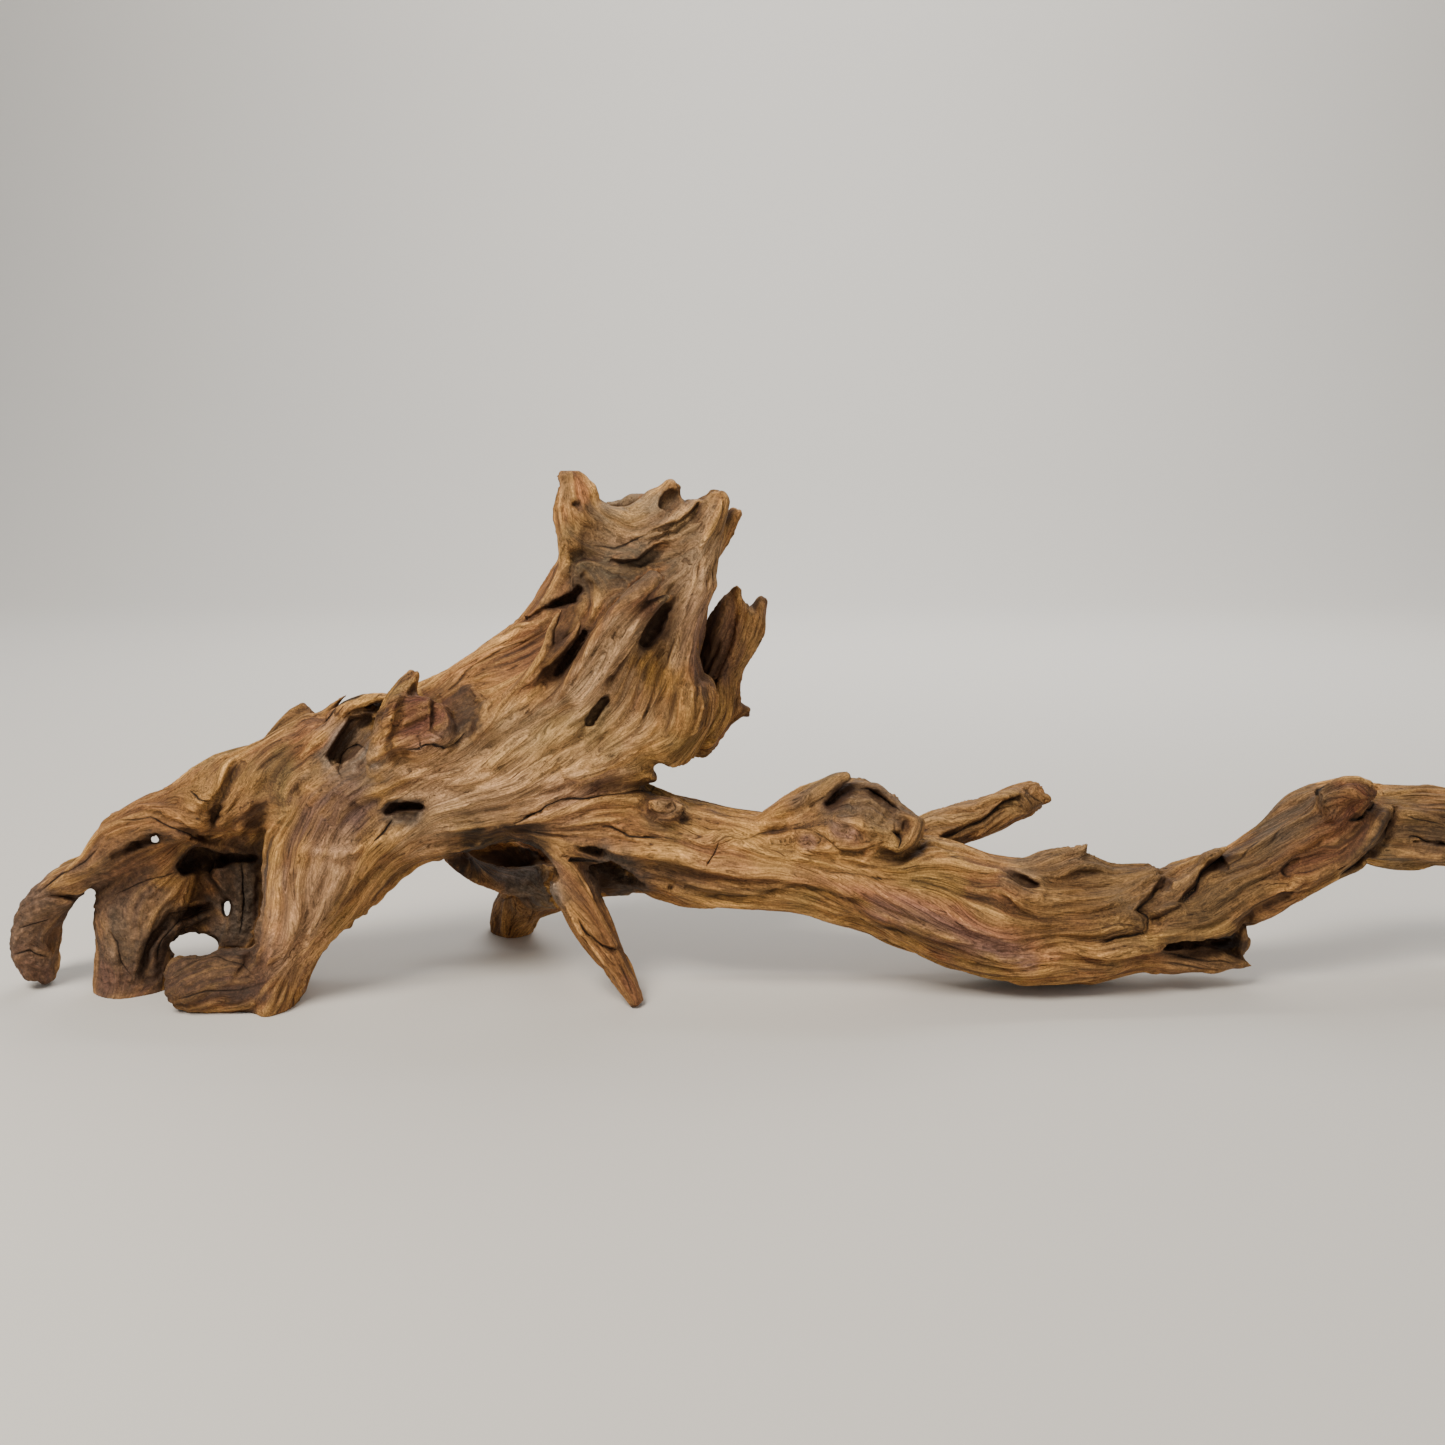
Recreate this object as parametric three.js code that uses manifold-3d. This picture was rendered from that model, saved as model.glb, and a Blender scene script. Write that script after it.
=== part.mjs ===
// Driftwood: a weathered root with a broken crown, a hollow two-legged foot at the left,
// a peg and a back leg underneath, and a long limb that lies out to the right.
// Millimetres, +Z up. The face of the wood looks along -Y, and +X runs along the long limb.

import * as THREE from "three";
import { mergeVertices } from "three/addons/utils/BufferGeometryUtils.js";
import Module from "manifold-3d";

// Where the middle of the footprint lies in the frame that the stations are measured in.
const MIDDLE = new THREE.Vector3(36.3, 31.1, 0);

const FORK_GAP = 0.3; // clearance between two pieces that meet at a fork
const RING_STEP = 18; // distance between two sections along a limb
const FACET = 16; // width of one facet round a limb
const FEWEST_SIDES = 7;
const MOST_SIDES = 17;
const CAP = 0.6; // how far a rounded end stands out, as a share of its smaller half thickness
const SPIRAL = [90, 60]; // length over which the flutes of a limb turn by one radian
const DEPTH = new THREE.Vector3(0, 1, 0);

// A station is [x, y, z, wide, deep]: the middle of the wood, and its half thickness
// across the limb in the plane of the face, and from front to back.
// Flutes is how strongly the old root lines stand out, as a share of the thickness.
const LIMBS = [
  // The leaning body with its broken crown.
  { name: "body", flutes: 0.05, stations: [
    [-221, 8, 109, 33, 34], [-190, 10, 112, 43, 42], [-154, 12, 119, 47, 46], [-111, 14, 133, 50, 48],
    [-72, 16, 164, 48, 48], [-51, 18, 196, 43, 44], [-42, 18, 226, 39, 40], [-39, 18, 249, 38, 34]] },
  { name: "left_horn", flutes: 0.04, stations: [
    [-75, 4, 214, 12, 16], [-78, 2, 243, 10, 14], [-78, 2, 264, 9, 11], [-82, 4, 278, 5, 7]] },
  { name: "right_horn", flutes: 0.04, stations: [
    [-22, 0, 219, 10, 16], [-15, 2, 241, 9, 15], [-8, 6, 257, 9, 12], [-2, 8, 266, 6, 9]] },
  { name: "right_horn_tip", flutes: 0.03, stations: [
    [-12, 20, 234, 8, 10], [0, 24, 249, 5, 8], [7, 26, 258, 3, 5]] },
  { name: "middle_bump", flutes: 0.04, stations: [
    [-43, 6, 245, 10, 14], [-32, 4, 260, 9, 12], [-26, 6, 271, 5, 8]] },
  { name: "back_rim", flutes: 0.04, stations: [
    [-65, 34, 249, 8, 10], [-51, 40, 260, 7, 9], [-37, 38, 260, 7, 9]] },
  { name: "right_ridge", flutes: 0.03, stations: [
    [-12, -6, 220, 6, 12], [-17, -10, 199, 7, 12], [-20, -12, 181, 8, 14], [-16, -6, 159, 12, 18],
    [-27, 4, 135, 12, 20]] },
  { name: "left_ridge", flutes: 0.05, stations: [
    [-82, 10, 222, 11, 16], [-106, 8, 190, 12, 20], [-141, 6, 164, 13, 22], [-176, 6, 149, 13, 22],
    [-212, 8, 138, 13, 24]] },
  { name: "finger", flutes: 0.03, stations: [
    [-93, -34, 172, 7, 14], [-72, -38, 194, 6, 12], [-57, -36, 212, 5, 10], [-42, -34, 224, 5, 9],
    [-35, -34, 229, 4, 7]] },
  { name: "torn_finger", flutes: 0.03, stations: [
    [-56, -30, 189, 4, 8], [-45, -34, 207, 4, 6], [-36, -36, 215, 3, 5], [-29, -38, 219, 2, 3]] },
  { name: "ear", flutes: 0.03, stations: [
    [-178, -28, 130, 5, 12], [-173, -32, 143, 5, 11], [-168, -34, 157, 5, 10], [-162, -32, 170, 5, 9],
    [-157, -30, 177, 4, 7]] },
  { name: "snapped_stub", flutes: 0.03, stations: [[-157, -14, 139, 14, 14], [-154, -26, 154, 13, 12]] },
  { name: "top_flake", flutes: 0.02, stations: [[-240, 16, 134, 8, 7], [-232, 18, 146, 7, 5], [-226, 19, 153, 4, 4]] },
  { name: "thorn_pair", flutes: 0.02, stations: [[-90, -34, 186, 6, 9], [-84, -38, 205, 3, 5], [-81, -39, 214, 2, 3]] },
  { name: "belly_lump", flutes: 0.06, stations: [
    [-86, 20, 68, 11, 15], [-64, 20, 62, 12, 14], [-36, 14, 66, 13, 16]] },
  { name: "back_fold", flutes: 0.04, stations: [
    [-38, 50, 244, 10, 9], [-50, 57, 214, 12, 12], [-76, 58, 172, 13, 13], [-116, 56, 136, 14, 13],
    [-162, 50, 116, 12, 12], [-204, 38, 108, 10, 10]] },
  { name: "back_knot", flutes: 0.08, stations: [[-132, 44, 150, 17, 15], [-128, 60, 156, 15, 14], [-126, 66, 158, 11, 10]] },

  // The hollow foot: an arm that ends in a hook, a rotted plate, a wall behind, and a leg with a toe.
  { name: "arm", flutes: 0.06, stations: [
    [-217, 6, 132, 22, 26], [-244, 2, 119, 20, 26], [-267, -4, 111, 19, 26], [-288, -8, 102, 14, 22],
    [-309, -10, 95, 12, 19], [-331, -10, 82, 12, 18], [-354, -6, 65, 11, 16], [-371, -2, 46, 12, 16],
    [-378, 0, 25, 12, 15], [-378, 2, 9, 7, 12]] },
  { name: "root_plate", flutes: 0.05, stations: [
    [-298, 0, 92, 18, 17], [-312, 4, 68, 23, 18], [-321, 4, 44, 23, 19], [-325, 2, 20, 20, 20],
    [-327, 0, -10, 21, 21]] },
  { name: "back_wall", flutes: 0.04, stations: [
    [-264, 6, 108, 26, 14], [-266, 16, 78, 38, 13], [-268, 21, 44, 36, 12], [-272, 20, 14, 31, 13],
    [-272, 16, -8, 29, 16]] },
  { name: "window_arch", flutes: 0.04, stations: [
    [-318, 8, 2, 7, 12], [-313, 12, 20, 7, 11], [-302, 16, 34, 7, 11], [-288, 20, 38, 7, 11],
    [-276, 26, 30, 7, 9]] },
  { name: "leg", flutes: 0.06, stations: [
    [-201, 0, 95, 44, 34], [-214, -4, 69, 34, 34], [-227, -8, 44, 23, 32], [-236, -14, 23, 16, 30],
    [-241, -22, -4, 12, 26]] },
  { name: "toe", flutes: 0.05, stations: [
    [-236, -20, 8, 14, 22], [-256, -24, 10, 15, 22], [-276, -26, 11, 16, 22], [-288, -28, 11, 13, 18]] },

  // The long limb with its knots, and the torn lower lip.
  { name: "limb", flutes: 0.05, stations: [
    [-89, 12, 104, 30, 40], [-56, 10, 90, 25, 36], [-18, 8, 75, 26, 32], [18, 6, 71, 26, 32],
    [48, 4, 70, 27, 32], [79, 2, 63, 29, 32], [109, 0, 52, 31, 33], [136, 0, 41, 32, 33],
    [164, 2, 34, 33, 33], [191, 3, 34, 32, 32], [219, 4, 38, 28, 30], [244, 6, 42, 24, 28],
    [267, 8, 48, 21, 24]] },
  { name: "limb_back_fold", flutes: 0.03, stations: [
    [-84, 36, 104, 10, 9], [-34, 39, 83, 11, 10], [14, 37, 74, 11, 10], [62, 34, 70, 10, 10],
    [112, 32, 54, 11, 10], [166, 31, 40, 11, 10], [216, 26, 42, 9, 9]] },
  { name: "torn_collar", flutes: 0.06, stations: [[40, -2, 90, 15, 22], [66, -2, 96, 21, 26], [88, 0, 91, 16, 24]] },
  { name: "collar_horn", flutes: 0.03, stations: [[52, -8, 104, 8, 12], [63, -9, 116, 5, 9], [68, -9, 121, 3, 5]] },
  { name: "eye_swell", flutes: 0.04, stations: [[166, 2, 61, 13, 18], [186, 4, 67, 12, 15], [198, 6, 69, 8, 10]] },
  { name: "lip", flutes: 0.04, stations: [[203, 2, 16, 12, 20], [231, 2, 18, 9, 18], [259, 4, 16, 8, 18], [288, 8, 14, 7, 14]] },

  // The far end: a rising stretch, a knuckle, and the last length.
  { name: "rise", flutes: 0.05, stations: [
    [258, 8, 47, 22, 24], [287, 12, 58, 19, 22], [309, 16, 72, 18, 22], [332, 20, 86, 20, 24],
    [350, 24, 91, 18, 24]] },
  { name: "knuckle", flutes: 0.05, stations: [[331, 10, 95, 14, 17], [345, 10, 103, 12, 15]] },
  { name: "end_length", flutes: 0.06, stations: [
    [352, 28, 88, 20, 24], [380, 32, 83, 22, 26], [410, 36, 80, 22, 26], [438, 40, 76, 18, 22],
    [457, 42, 73, 10, 15]] },
  { name: "flap", flutes: 0.03, stations: [[308, -2, 60, 6, 9], [331, 2, 73, 7, 9], [349, 4, 87, 7, 9], [362, 8, 96, 4, 6]] },

  // What stands off the main stems.
  { name: "peg_limb", flutes: 0.05, stations: [
    [-92, 2, 92, 14, 20], [-85, -6, 70, 13, 18], [-77, -12, 55, 11, 16], [-68, -17, 39, 10, 14],
    [-59, -21, 24, 8, 12], [-50, -25, 10, 6, 10], [-46, -27, 2, 4, 8]] },
  { name: "back_stub", flutes: 0.06, stations: [
    [-62, 18, 62, 15, 15], [-91, 50, 43, 13, 16], [-116, 78, 29, 13, 15], [-128, 94, 12, 12, 15],
    [-130, 98, -6, 12, 14]] },
  { name: "stick", flutes: 0.04, stations: [
    [84, 14, 62, 13, 16], [118, 34, 76, 12, 15], [146, 52, 82, 12, 14], [170, 68, 87, 11, 13],
    [186, 76, 91, 9, 11]] },
  { name: "shard", flutes: 0.05, stations: [
    [-16, 26, 136, 14, 18], [-2, 40, 162, 15, 15], [7, 46, 187, 15, 12], [13, 48, 199, 11, 9]] },
  { name: "shard_left_tip", flutes: 0.03, stations: [[0, 44, 187, 9, 9], [5, 46, 204, 6, 7], [8, 47, 215, 2, 4]] },
  { name: "shard_right_tip", flutes: 0.03, stations: [[13, 50, 187, 9, 9], [19, 52, 200, 6, 8], [23, 54, 209, 3, 5]] },
  { name: "shard_nub", flutes: 0.05, stations: [[-8, 32, 143, 11, 12], [8, 36, 149, 6, 8], [15, 37, 148, 3, 5]] },
];

// Hollows have stations like a limb's. Through ones run from front to back,
// with their half width along X first and their half height second.
const HOLLOWS = [
  { name: "foot_window", through: true, stations: [[-269, -60, 45, 13, 6], [-289, -10, 29, 13, 6], [-314, 60, 7, 13, 6]] },
  { name: "arm_slit", through: true, stations: [[-287, -50, 99, 6, 4], [-303, -10, 88, 5, 4], [-322, 50, 72, 5, 4]] },
  { name: "foot_cave", stations: [[-272, -34, 78, 12, 14], [-264, -22, 60, 16, 24], [-267, -20, 38, 17, 22]] },
  { name: "ear_hollow", stations: [[-192, -40, 130, 12, 16], [-190, -38, 146, 13, 18]] },
  { name: "stub_hollow", stations: [[-130, -42, 150, 7, 14], [-127, -42, 166, 8, 14]] },
  { name: "dark_slot", through: true, stations: [[-161, -56, 113, 8, 3.5], [-170, -12, 103, 8, 4]] },
  { name: "crown_basin", stations: [[-54, 22, 282, 20, 17], [-50, 22, 262, 20, 15], [-48, 20, 242, 10, 9]] },
  { name: "crown_recess", stations: [[-62, -38, 221, 12, 12], [-42, -38, 232, 15, 13], [-22, -36, 243, 9, 9]] },
  { name: "torn_cave", stations: [[-37, -36, 196, 9, 20], [-33, -34, 208, 8, 18]] },
  { name: "thorn_groove", stations: [[-70, -46, 202, 3, 10], [-78, -44, 190, 4, 14], [-86, -42, 178, 3, 10]] },
  { name: "belly_cave", stations: [[-132, -14, 70, 10, 24], [-112, -10, 74, 13, 26], [-94, 0, 70, 10, 22]] },
  { name: "limb_eye", stations: [[150, -36, 74, 5, 9], [162, -36, 70, 5, 9]] },
  { name: "collar_pocket", stations: [[70, -28, 118, 6, 12], [86, -26, 110, 6, 12]] },
  { name: "split_face", stations: [[226, -40, 49, 9, 16], [259, -36, 64, 12, 16], [294, -26, 79, 9, 14]] },
  { name: "lip_gap", stations: [[240, -26, 30, 2.5, 26], [290, -12, 27, 4, 28]] },
  { name: "shard_hollow", stations: [[-10, 22, 170, 7, 12], [-5, 24, 192, 8, 12]] },
  { name: "knot_hole", stations: [[-124, 80, 160, 7, 8], [-129, 56, 153, 6, 7]] },
  { name: "back_rot", stations: [[-36, 62, 196, 8, 9], [-50, 66, 176, 11, 10], [-62, 68, 160, 7, 7]] },
];

// A piece of the whole is what lies past a plane at a fork. The plane stands at origin, square
// to axis, and the block behind it reaches length along the axis, and from low to high
// across it (wide) and front to back (deep), in the same section frame as a limb's.
const FORKS = [
  { piece: "back_shard", colour: 0x7c5a3e, blocks: [
    { origin: [-4, 26, 175], axis: [0.6, 0.8, 0], length: 60, wide: [-48, 47], deep: [-40, 36] }] },
  { piece: "peg", colour: 0x8a6038, blocks: [
    { origin: [-87, -4, 74], axis: [0.46, -0.3, -0.84], length: 130, wide: [-21, 21], deep: [-26, 19] }] },
  { piece: "back_leg", colour: 0x7d6243, blocks: [
    { origin: [-84, 42, 47], axis: [-0.59, 0.68, -0.43], length: 120, wide: [-28, 30], deep: [-26, 26] }] },
  { piece: "limb_end", colour: 0x81603f, blocks: [
    { origin: [283, 12, 57], axis: [0.829, 0, 0.559], length: 240, wide: [-120, 150], deep: [-90, 90] }] },
  { piece: "straight_stub", colour: 0x8b6c46, blocks: [
    { origin: [124, 38, 77], axis: [0.836, 0.517, 0.185], length: 100, wide: [-20, 20], deep: [-20, 20] }] },
  { piece: "long_limb", colour: 0x8f6a41, blocks: [
    { origin: [-38, 0, 112], axis: [0.961, 0, 0.276], length: 600, wide: [0, 300], deep: [-90, 110] }] },
  { piece: "root_arm", colour: 0x7a5436, blocks: [
    { origin: [-248, 0, 119], axis: [-0.919, 0, -0.395], length: 120, wide: [-22, 60], deep: [-90, 90] },
    { origin: [-304, 0, 24], axis: [-1, 0, 0], length: 140, wide: [-60, 70], deep: [-90, 90] }] },
  { piece: "root_leg", colour: 0x855d39, blocks: [
    { origin: [-196, 0, 107], axis: [-0.734, 0, -0.679], length: 300, wide: [-75, 200], deep: [-90, 90] }] },
];
const REMAINDER = { piece: "trunk", colour: 0x8c6740 };

const WOOD_ROUGHNESS = 0.82;
const FLOOR_BLOCK = 1200; // side of the block that takes away everything below the floor

const wasm = await Module();
wasm.setup();

/** A closed solid of a geometry whose shared vertices are merged by position. */
function solidOf(geometry) {
  const bare = geometry.clone();
  bare.deleteAttribute("normal");
  bare.deleteAttribute("uv");
  const merged = mergeVertices(bare);
  return new wasm.Manifold(new wasm.Mesh({
    numProp: 3,
    vertProperties: new Float32Array(merged.attributes.position.array),
    triVerts: new Uint32Array(merged.index.array),
  }));
}

/** The section frame at a tangent: across the limb, and front to back. */
function sectionFrame(tangent, through = false) {
  const across = through
    ? new THREE.Vector3(1, 0, 0).addScaledVector(tangent, -tangent.x)
    : new THREE.Vector3().crossVectors(DEPTH, tangent);
  across.normalize();
  const front = new THREE.Vector3().crossVectors(tangent, across).normalize();
  return { across, front };
}

/** How far the wood stands out at an angle round the limb and a distance along it. */
function fluting(flutes, phase, angle, along) {
  const broad = 0.6 * Math.cos(3 * angle + phase + along / SPIRAL[0]);
  const narrow = 0.4 * Math.cos(5 * angle - 2 * phase - along / SPIRAL[1]);
  return 1 + flutes * (broad + narrow);
}

/** A closed lofted solid through the stations of a limb or a hollow. */
function loft({ stations, flutes = 0, through = false }, phase) {
  const centres = stations.map(([x, y, z]) => new THREE.Vector3(x, y, z));
  const path = new THREE.CatmullRomCurve3(centres, false, "catmullrom", 0.5);
  const sizes = new THREE.CatmullRomCurve3(
    stations.map(([, , , wide, deep]) => new THREE.Vector3(wide, deep, 0)), false, "catmullrom", 0.5);
  const length = path.getLength();
  const steps = Math.max(2, Math.round(length / RING_STEP));
  const widest = Math.max(...stations.map(([, , , wide, deep]) => Math.sqrt(wide * deep)));
  const sides = THREE.MathUtils.clamp(Math.round((2 * Math.PI * widest) / FACET), FEWEST_SIDES, MOST_SIDES);

  const points = [];
  const ring = (t, shrink, reach) => {
    const centre = path.getPoint(t);
    const tangent = path.getTangent(t).normalize();
    const size = sizes.getPoint(t);
    const { across, front } = sectionFrame(tangent, through);
    const cap = CAP * Math.min(size.x, size.y);
    centre.addScaledVector(tangent, reach * cap);
    for (let side = 0; side < sides; side++) {
      const angle = (2 * Math.PI * side) / sides;
      const out = shrink * fluting(flutes, phase, angle, t * length);
      points.push(centre.clone()
        .addScaledVector(across, size.x * Math.cos(angle) * out)
        .addScaledVector(front, size.y * Math.sin(angle) * out));
    }
  };
  const tip = (t, reach) => {
    const size = sizes.getPoint(t);
    const cap = CAP * Math.min(size.x, size.y);
    return path.getPoint(t).addScaledVector(path.getTangent(t).normalize(), reach * cap);
  };

  ring(0, Math.SQRT1_2, -Math.SQRT1_2);
  for (let step = 0; step <= steps; step++) ring(step / steps, 1, 0);
  ring(1, Math.SQRT1_2, Math.SQRT1_2);
  const rings = steps + 3;
  const first = points.push(tip(0, -1)) - 1;
  const last = points.push(tip(1, 1)) - 1;

  const index = [];
  for (let side = 0; side < sides; side++) {
    const next = (side + 1) % sides;
    index.push(first, next, side);
    const end = (rings - 1) * sides;
    index.push(last, end + side, end + next);
    for (let row = 0; row < rings - 1; row++) {
      const [a, b] = [row * sides + side, row * sides + next];
      index.push(a, b, b + sides, a, b + sides, a + sides);
    }
  }
  const geometry = new THREE.BufferGeometry().setFromPoints(points);
  geometry.setIndex(index);
  return solidOf(geometry);
}

/** The block behind a fork's plane, larger on every side by grow. */
function forkBlock({ origin, axis, length, wide, deep }, grow) {
  const tangent = new THREE.Vector3(...axis).normalize();
  const { across, front } = sectionFrame(tangent);
  const spans = [[0, length], wide, deep];
  const [along, side, depth] = spans.map(([low, high]) => ({ size: high - low + 2 * grow, middle: (low + high) / 2 }));
  const block = new THREE.BoxGeometry(along.size, side.size, depth.size);
  block.translate(along.middle, side.middle, depth.middle);
  block.applyMatrix4(new THREE.Matrix4().makeBasis(tangent, across, front));
  block.translate(...origin);
  return solidOf(block);
}

/** All the blocks of a fork as one solid. */
function forkRegion(fork, grow) {
  return fork.blocks.map((block) => forkBlock(block, grow)).reduce((all, one) => all.add(one));
}

/** The largest body of a solid, without the crumbs that a cut leaves beside it. */
function largestBody(solid) {
  return solid.decompose().reduce((best, body) => (body.volume() > best.volume() ? body : best));
}

/** A named mesh of a piece, in wood of the given colour. */
function pieceMesh(piece, colour, solid) {
  const { numProp, numVert, vertProperties, triVerts } = largestBody(solid).getMesh();
  const places = new Float32Array(numVert * 3);
  for (let i = 0; i < numVert; i++) places.set(vertProperties.subarray(i * numProp, i * numProp + 3), i * 3);
  const geometry = new THREE.BufferGeometry();
  geometry.setAttribute("position", new THREE.BufferAttribute(places, 3));
  geometry.setIndex(new THREE.BufferAttribute(triVerts, 1));
  geometry.computeVertexNormals();
  const wood = new THREE.MeshStandardMaterial({ color: colour, roughness: WOOD_ROUGHNESS, metalness: 0 });
  const mesh = new THREE.Mesh(geometry, wood);
  mesh.name = piece;
  return mesh;
}

/** The whole root as one solid, with its hollows taken out and its soles cut flat at the floor. */
function wholeRoot() {
  const wood = LIMBS.map((limb, i) => loft(limb, i)).reduce((all, limb) => all.add(limb));
  const hollows = HOLLOWS.map((hollow, i) => loft(hollow, i)).reduce((all, one) => all.add(one));
  const ground = new THREE.BoxGeometry(FLOOR_BLOCK, FLOOR_BLOCK, FLOOR_BLOCK);
  ground.translate(0, 0, -FLOOR_BLOCK / 2);
  return wood.subtract(hollows).subtract(solidOf(ground));
}

const driftwood = new THREE.Group();
let rest = wholeRoot();
for (const fork of FORKS) {
  const piece = rest.intersect(forkRegion(fork, 0));
  rest = rest.subtract(forkRegion(fork, FORK_GAP));
  driftwood.add(pieceMesh(fork.piece, fork.colour, piece));
}
driftwood.add(pieceMesh(REMAINDER.piece, REMAINDER.colour, rest));
driftwood.position.copy(MIDDLE).negate();

export default driftwood;
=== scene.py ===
"""Driftwood: a weathered root with a broken crown, a hollow foot and a long limb.

The wood is grown as one distance field: limbs with elliptical sections are blended, hollows
are carved, and marks read off the photograph (ridges, grooves, cracks, torn ledges) are cut
into the side that the camera sees. The surface is then meshed, streaked along its grain,
raised by Geometry Nodes, and parted at the forks into one piece for each CAD node.

Lengths are millimetres in the frame that the CAD stations are measured in, until a mesh is
made, where they become metres in the row frame. Marks are in pixels of the photograph.
"""

import logging
import math
from dataclasses import dataclass, field
from enum import Enum
from functools import partial, reduce
from typing import Iterable

import bpy
import numpy as np
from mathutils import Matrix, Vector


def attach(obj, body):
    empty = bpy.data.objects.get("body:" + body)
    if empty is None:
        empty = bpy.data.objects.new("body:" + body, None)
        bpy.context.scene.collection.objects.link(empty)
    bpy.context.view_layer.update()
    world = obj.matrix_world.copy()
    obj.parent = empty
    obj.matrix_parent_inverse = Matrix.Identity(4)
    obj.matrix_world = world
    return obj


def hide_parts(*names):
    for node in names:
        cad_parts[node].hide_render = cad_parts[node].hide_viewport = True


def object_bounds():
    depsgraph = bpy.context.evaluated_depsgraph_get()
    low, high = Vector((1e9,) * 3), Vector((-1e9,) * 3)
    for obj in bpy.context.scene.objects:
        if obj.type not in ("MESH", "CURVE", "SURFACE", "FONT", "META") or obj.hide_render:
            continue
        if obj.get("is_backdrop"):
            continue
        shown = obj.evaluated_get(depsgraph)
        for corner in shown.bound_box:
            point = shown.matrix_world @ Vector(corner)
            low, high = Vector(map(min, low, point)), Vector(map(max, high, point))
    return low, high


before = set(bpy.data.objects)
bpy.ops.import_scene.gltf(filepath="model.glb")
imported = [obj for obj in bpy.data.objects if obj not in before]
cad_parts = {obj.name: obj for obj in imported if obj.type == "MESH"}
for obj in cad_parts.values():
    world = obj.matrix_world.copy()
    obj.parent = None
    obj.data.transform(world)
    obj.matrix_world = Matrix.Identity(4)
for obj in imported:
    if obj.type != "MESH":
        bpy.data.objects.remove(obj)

import openvdb
from mathutils import Vector
from mathutils.geometry import tessellate_polygon

LOG = logging.getLogger("driftwood")

MIDDLE = np.array([36.3, 31.1, 0.0])  # the CAD part's own shift, in mm
TO_METRES = 0.001
COARSE = 1.8  # grid step for the limbs and hollows, mm
LOW = np.array([-404.0, -64.0, -8.0])  # lowest corner of the grid
HIGH = np.array([478.0, 126.0, 296.0])
FAR = 24.0  # distances past this are not kept
CAP = 0.6  # how far a rounded end stands out, as a share of its smaller half thickness
SEED = 20

Point = tuple[float, float]
Line = tuple[Point, ...]
Station = tuple[float, float, float, float, float]
Colour = tuple[float, float, float]
Window = tuple[slice, slice, slice]


class Cut(Enum):
    """How a mark shapes the wood."""

    RIDGE = "a rounded rise"
    GROOVE = "a rounded trough"
    CRACK = "a sharp split"
    LEDGE = "a torn layer, high on the right hand of its line"
    GRAIN = "no relief, only the way that the grain runs"


class Slot(Enum):
    """The material slots of the CAD part."""

    WEATHERED = "weathered_wood"
    ROTTED = "rotted_wood"
    BLEACHED = "bleached_wood"


@dataclass(frozen=True)
class Limb:
    """A length of wood, lofted through stations of x, y, z, half width and half depth.

    A drawn limb's stations are read off the photograph instead: pixels from the left and
    from the top, y, half width and half depth. A late limb grows once the hollows are cut,
    and one that points at the camera is through, as a hollow can be.
    """

    name: str
    stations: tuple[Station, ...]
    blend: float
    flutes: float
    drawn: bool = False
    late: bool = False
    through: bool = False


@dataclass(frozen=True)
class Hollow:
    """A lofted space cut out of the wood, with stations as a limb has."""

    name: str
    stations: tuple[Station, ...]
    blend: float
    rot: float
    through: bool = False
    drawn: bool = False


@dataclass
class Nearness:
    """How points of the picture lie to a line: all in pixels, but the way and the share.

    The distance is signed + on the line's right hand. The way is the line's direction
    there, right and down, and the taper falls from 1 to 0 over the line's two ends.
    """

    distance: np.ndarray
    signed: np.ndarray
    way: np.ndarray
    taper: np.ndarray


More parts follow.
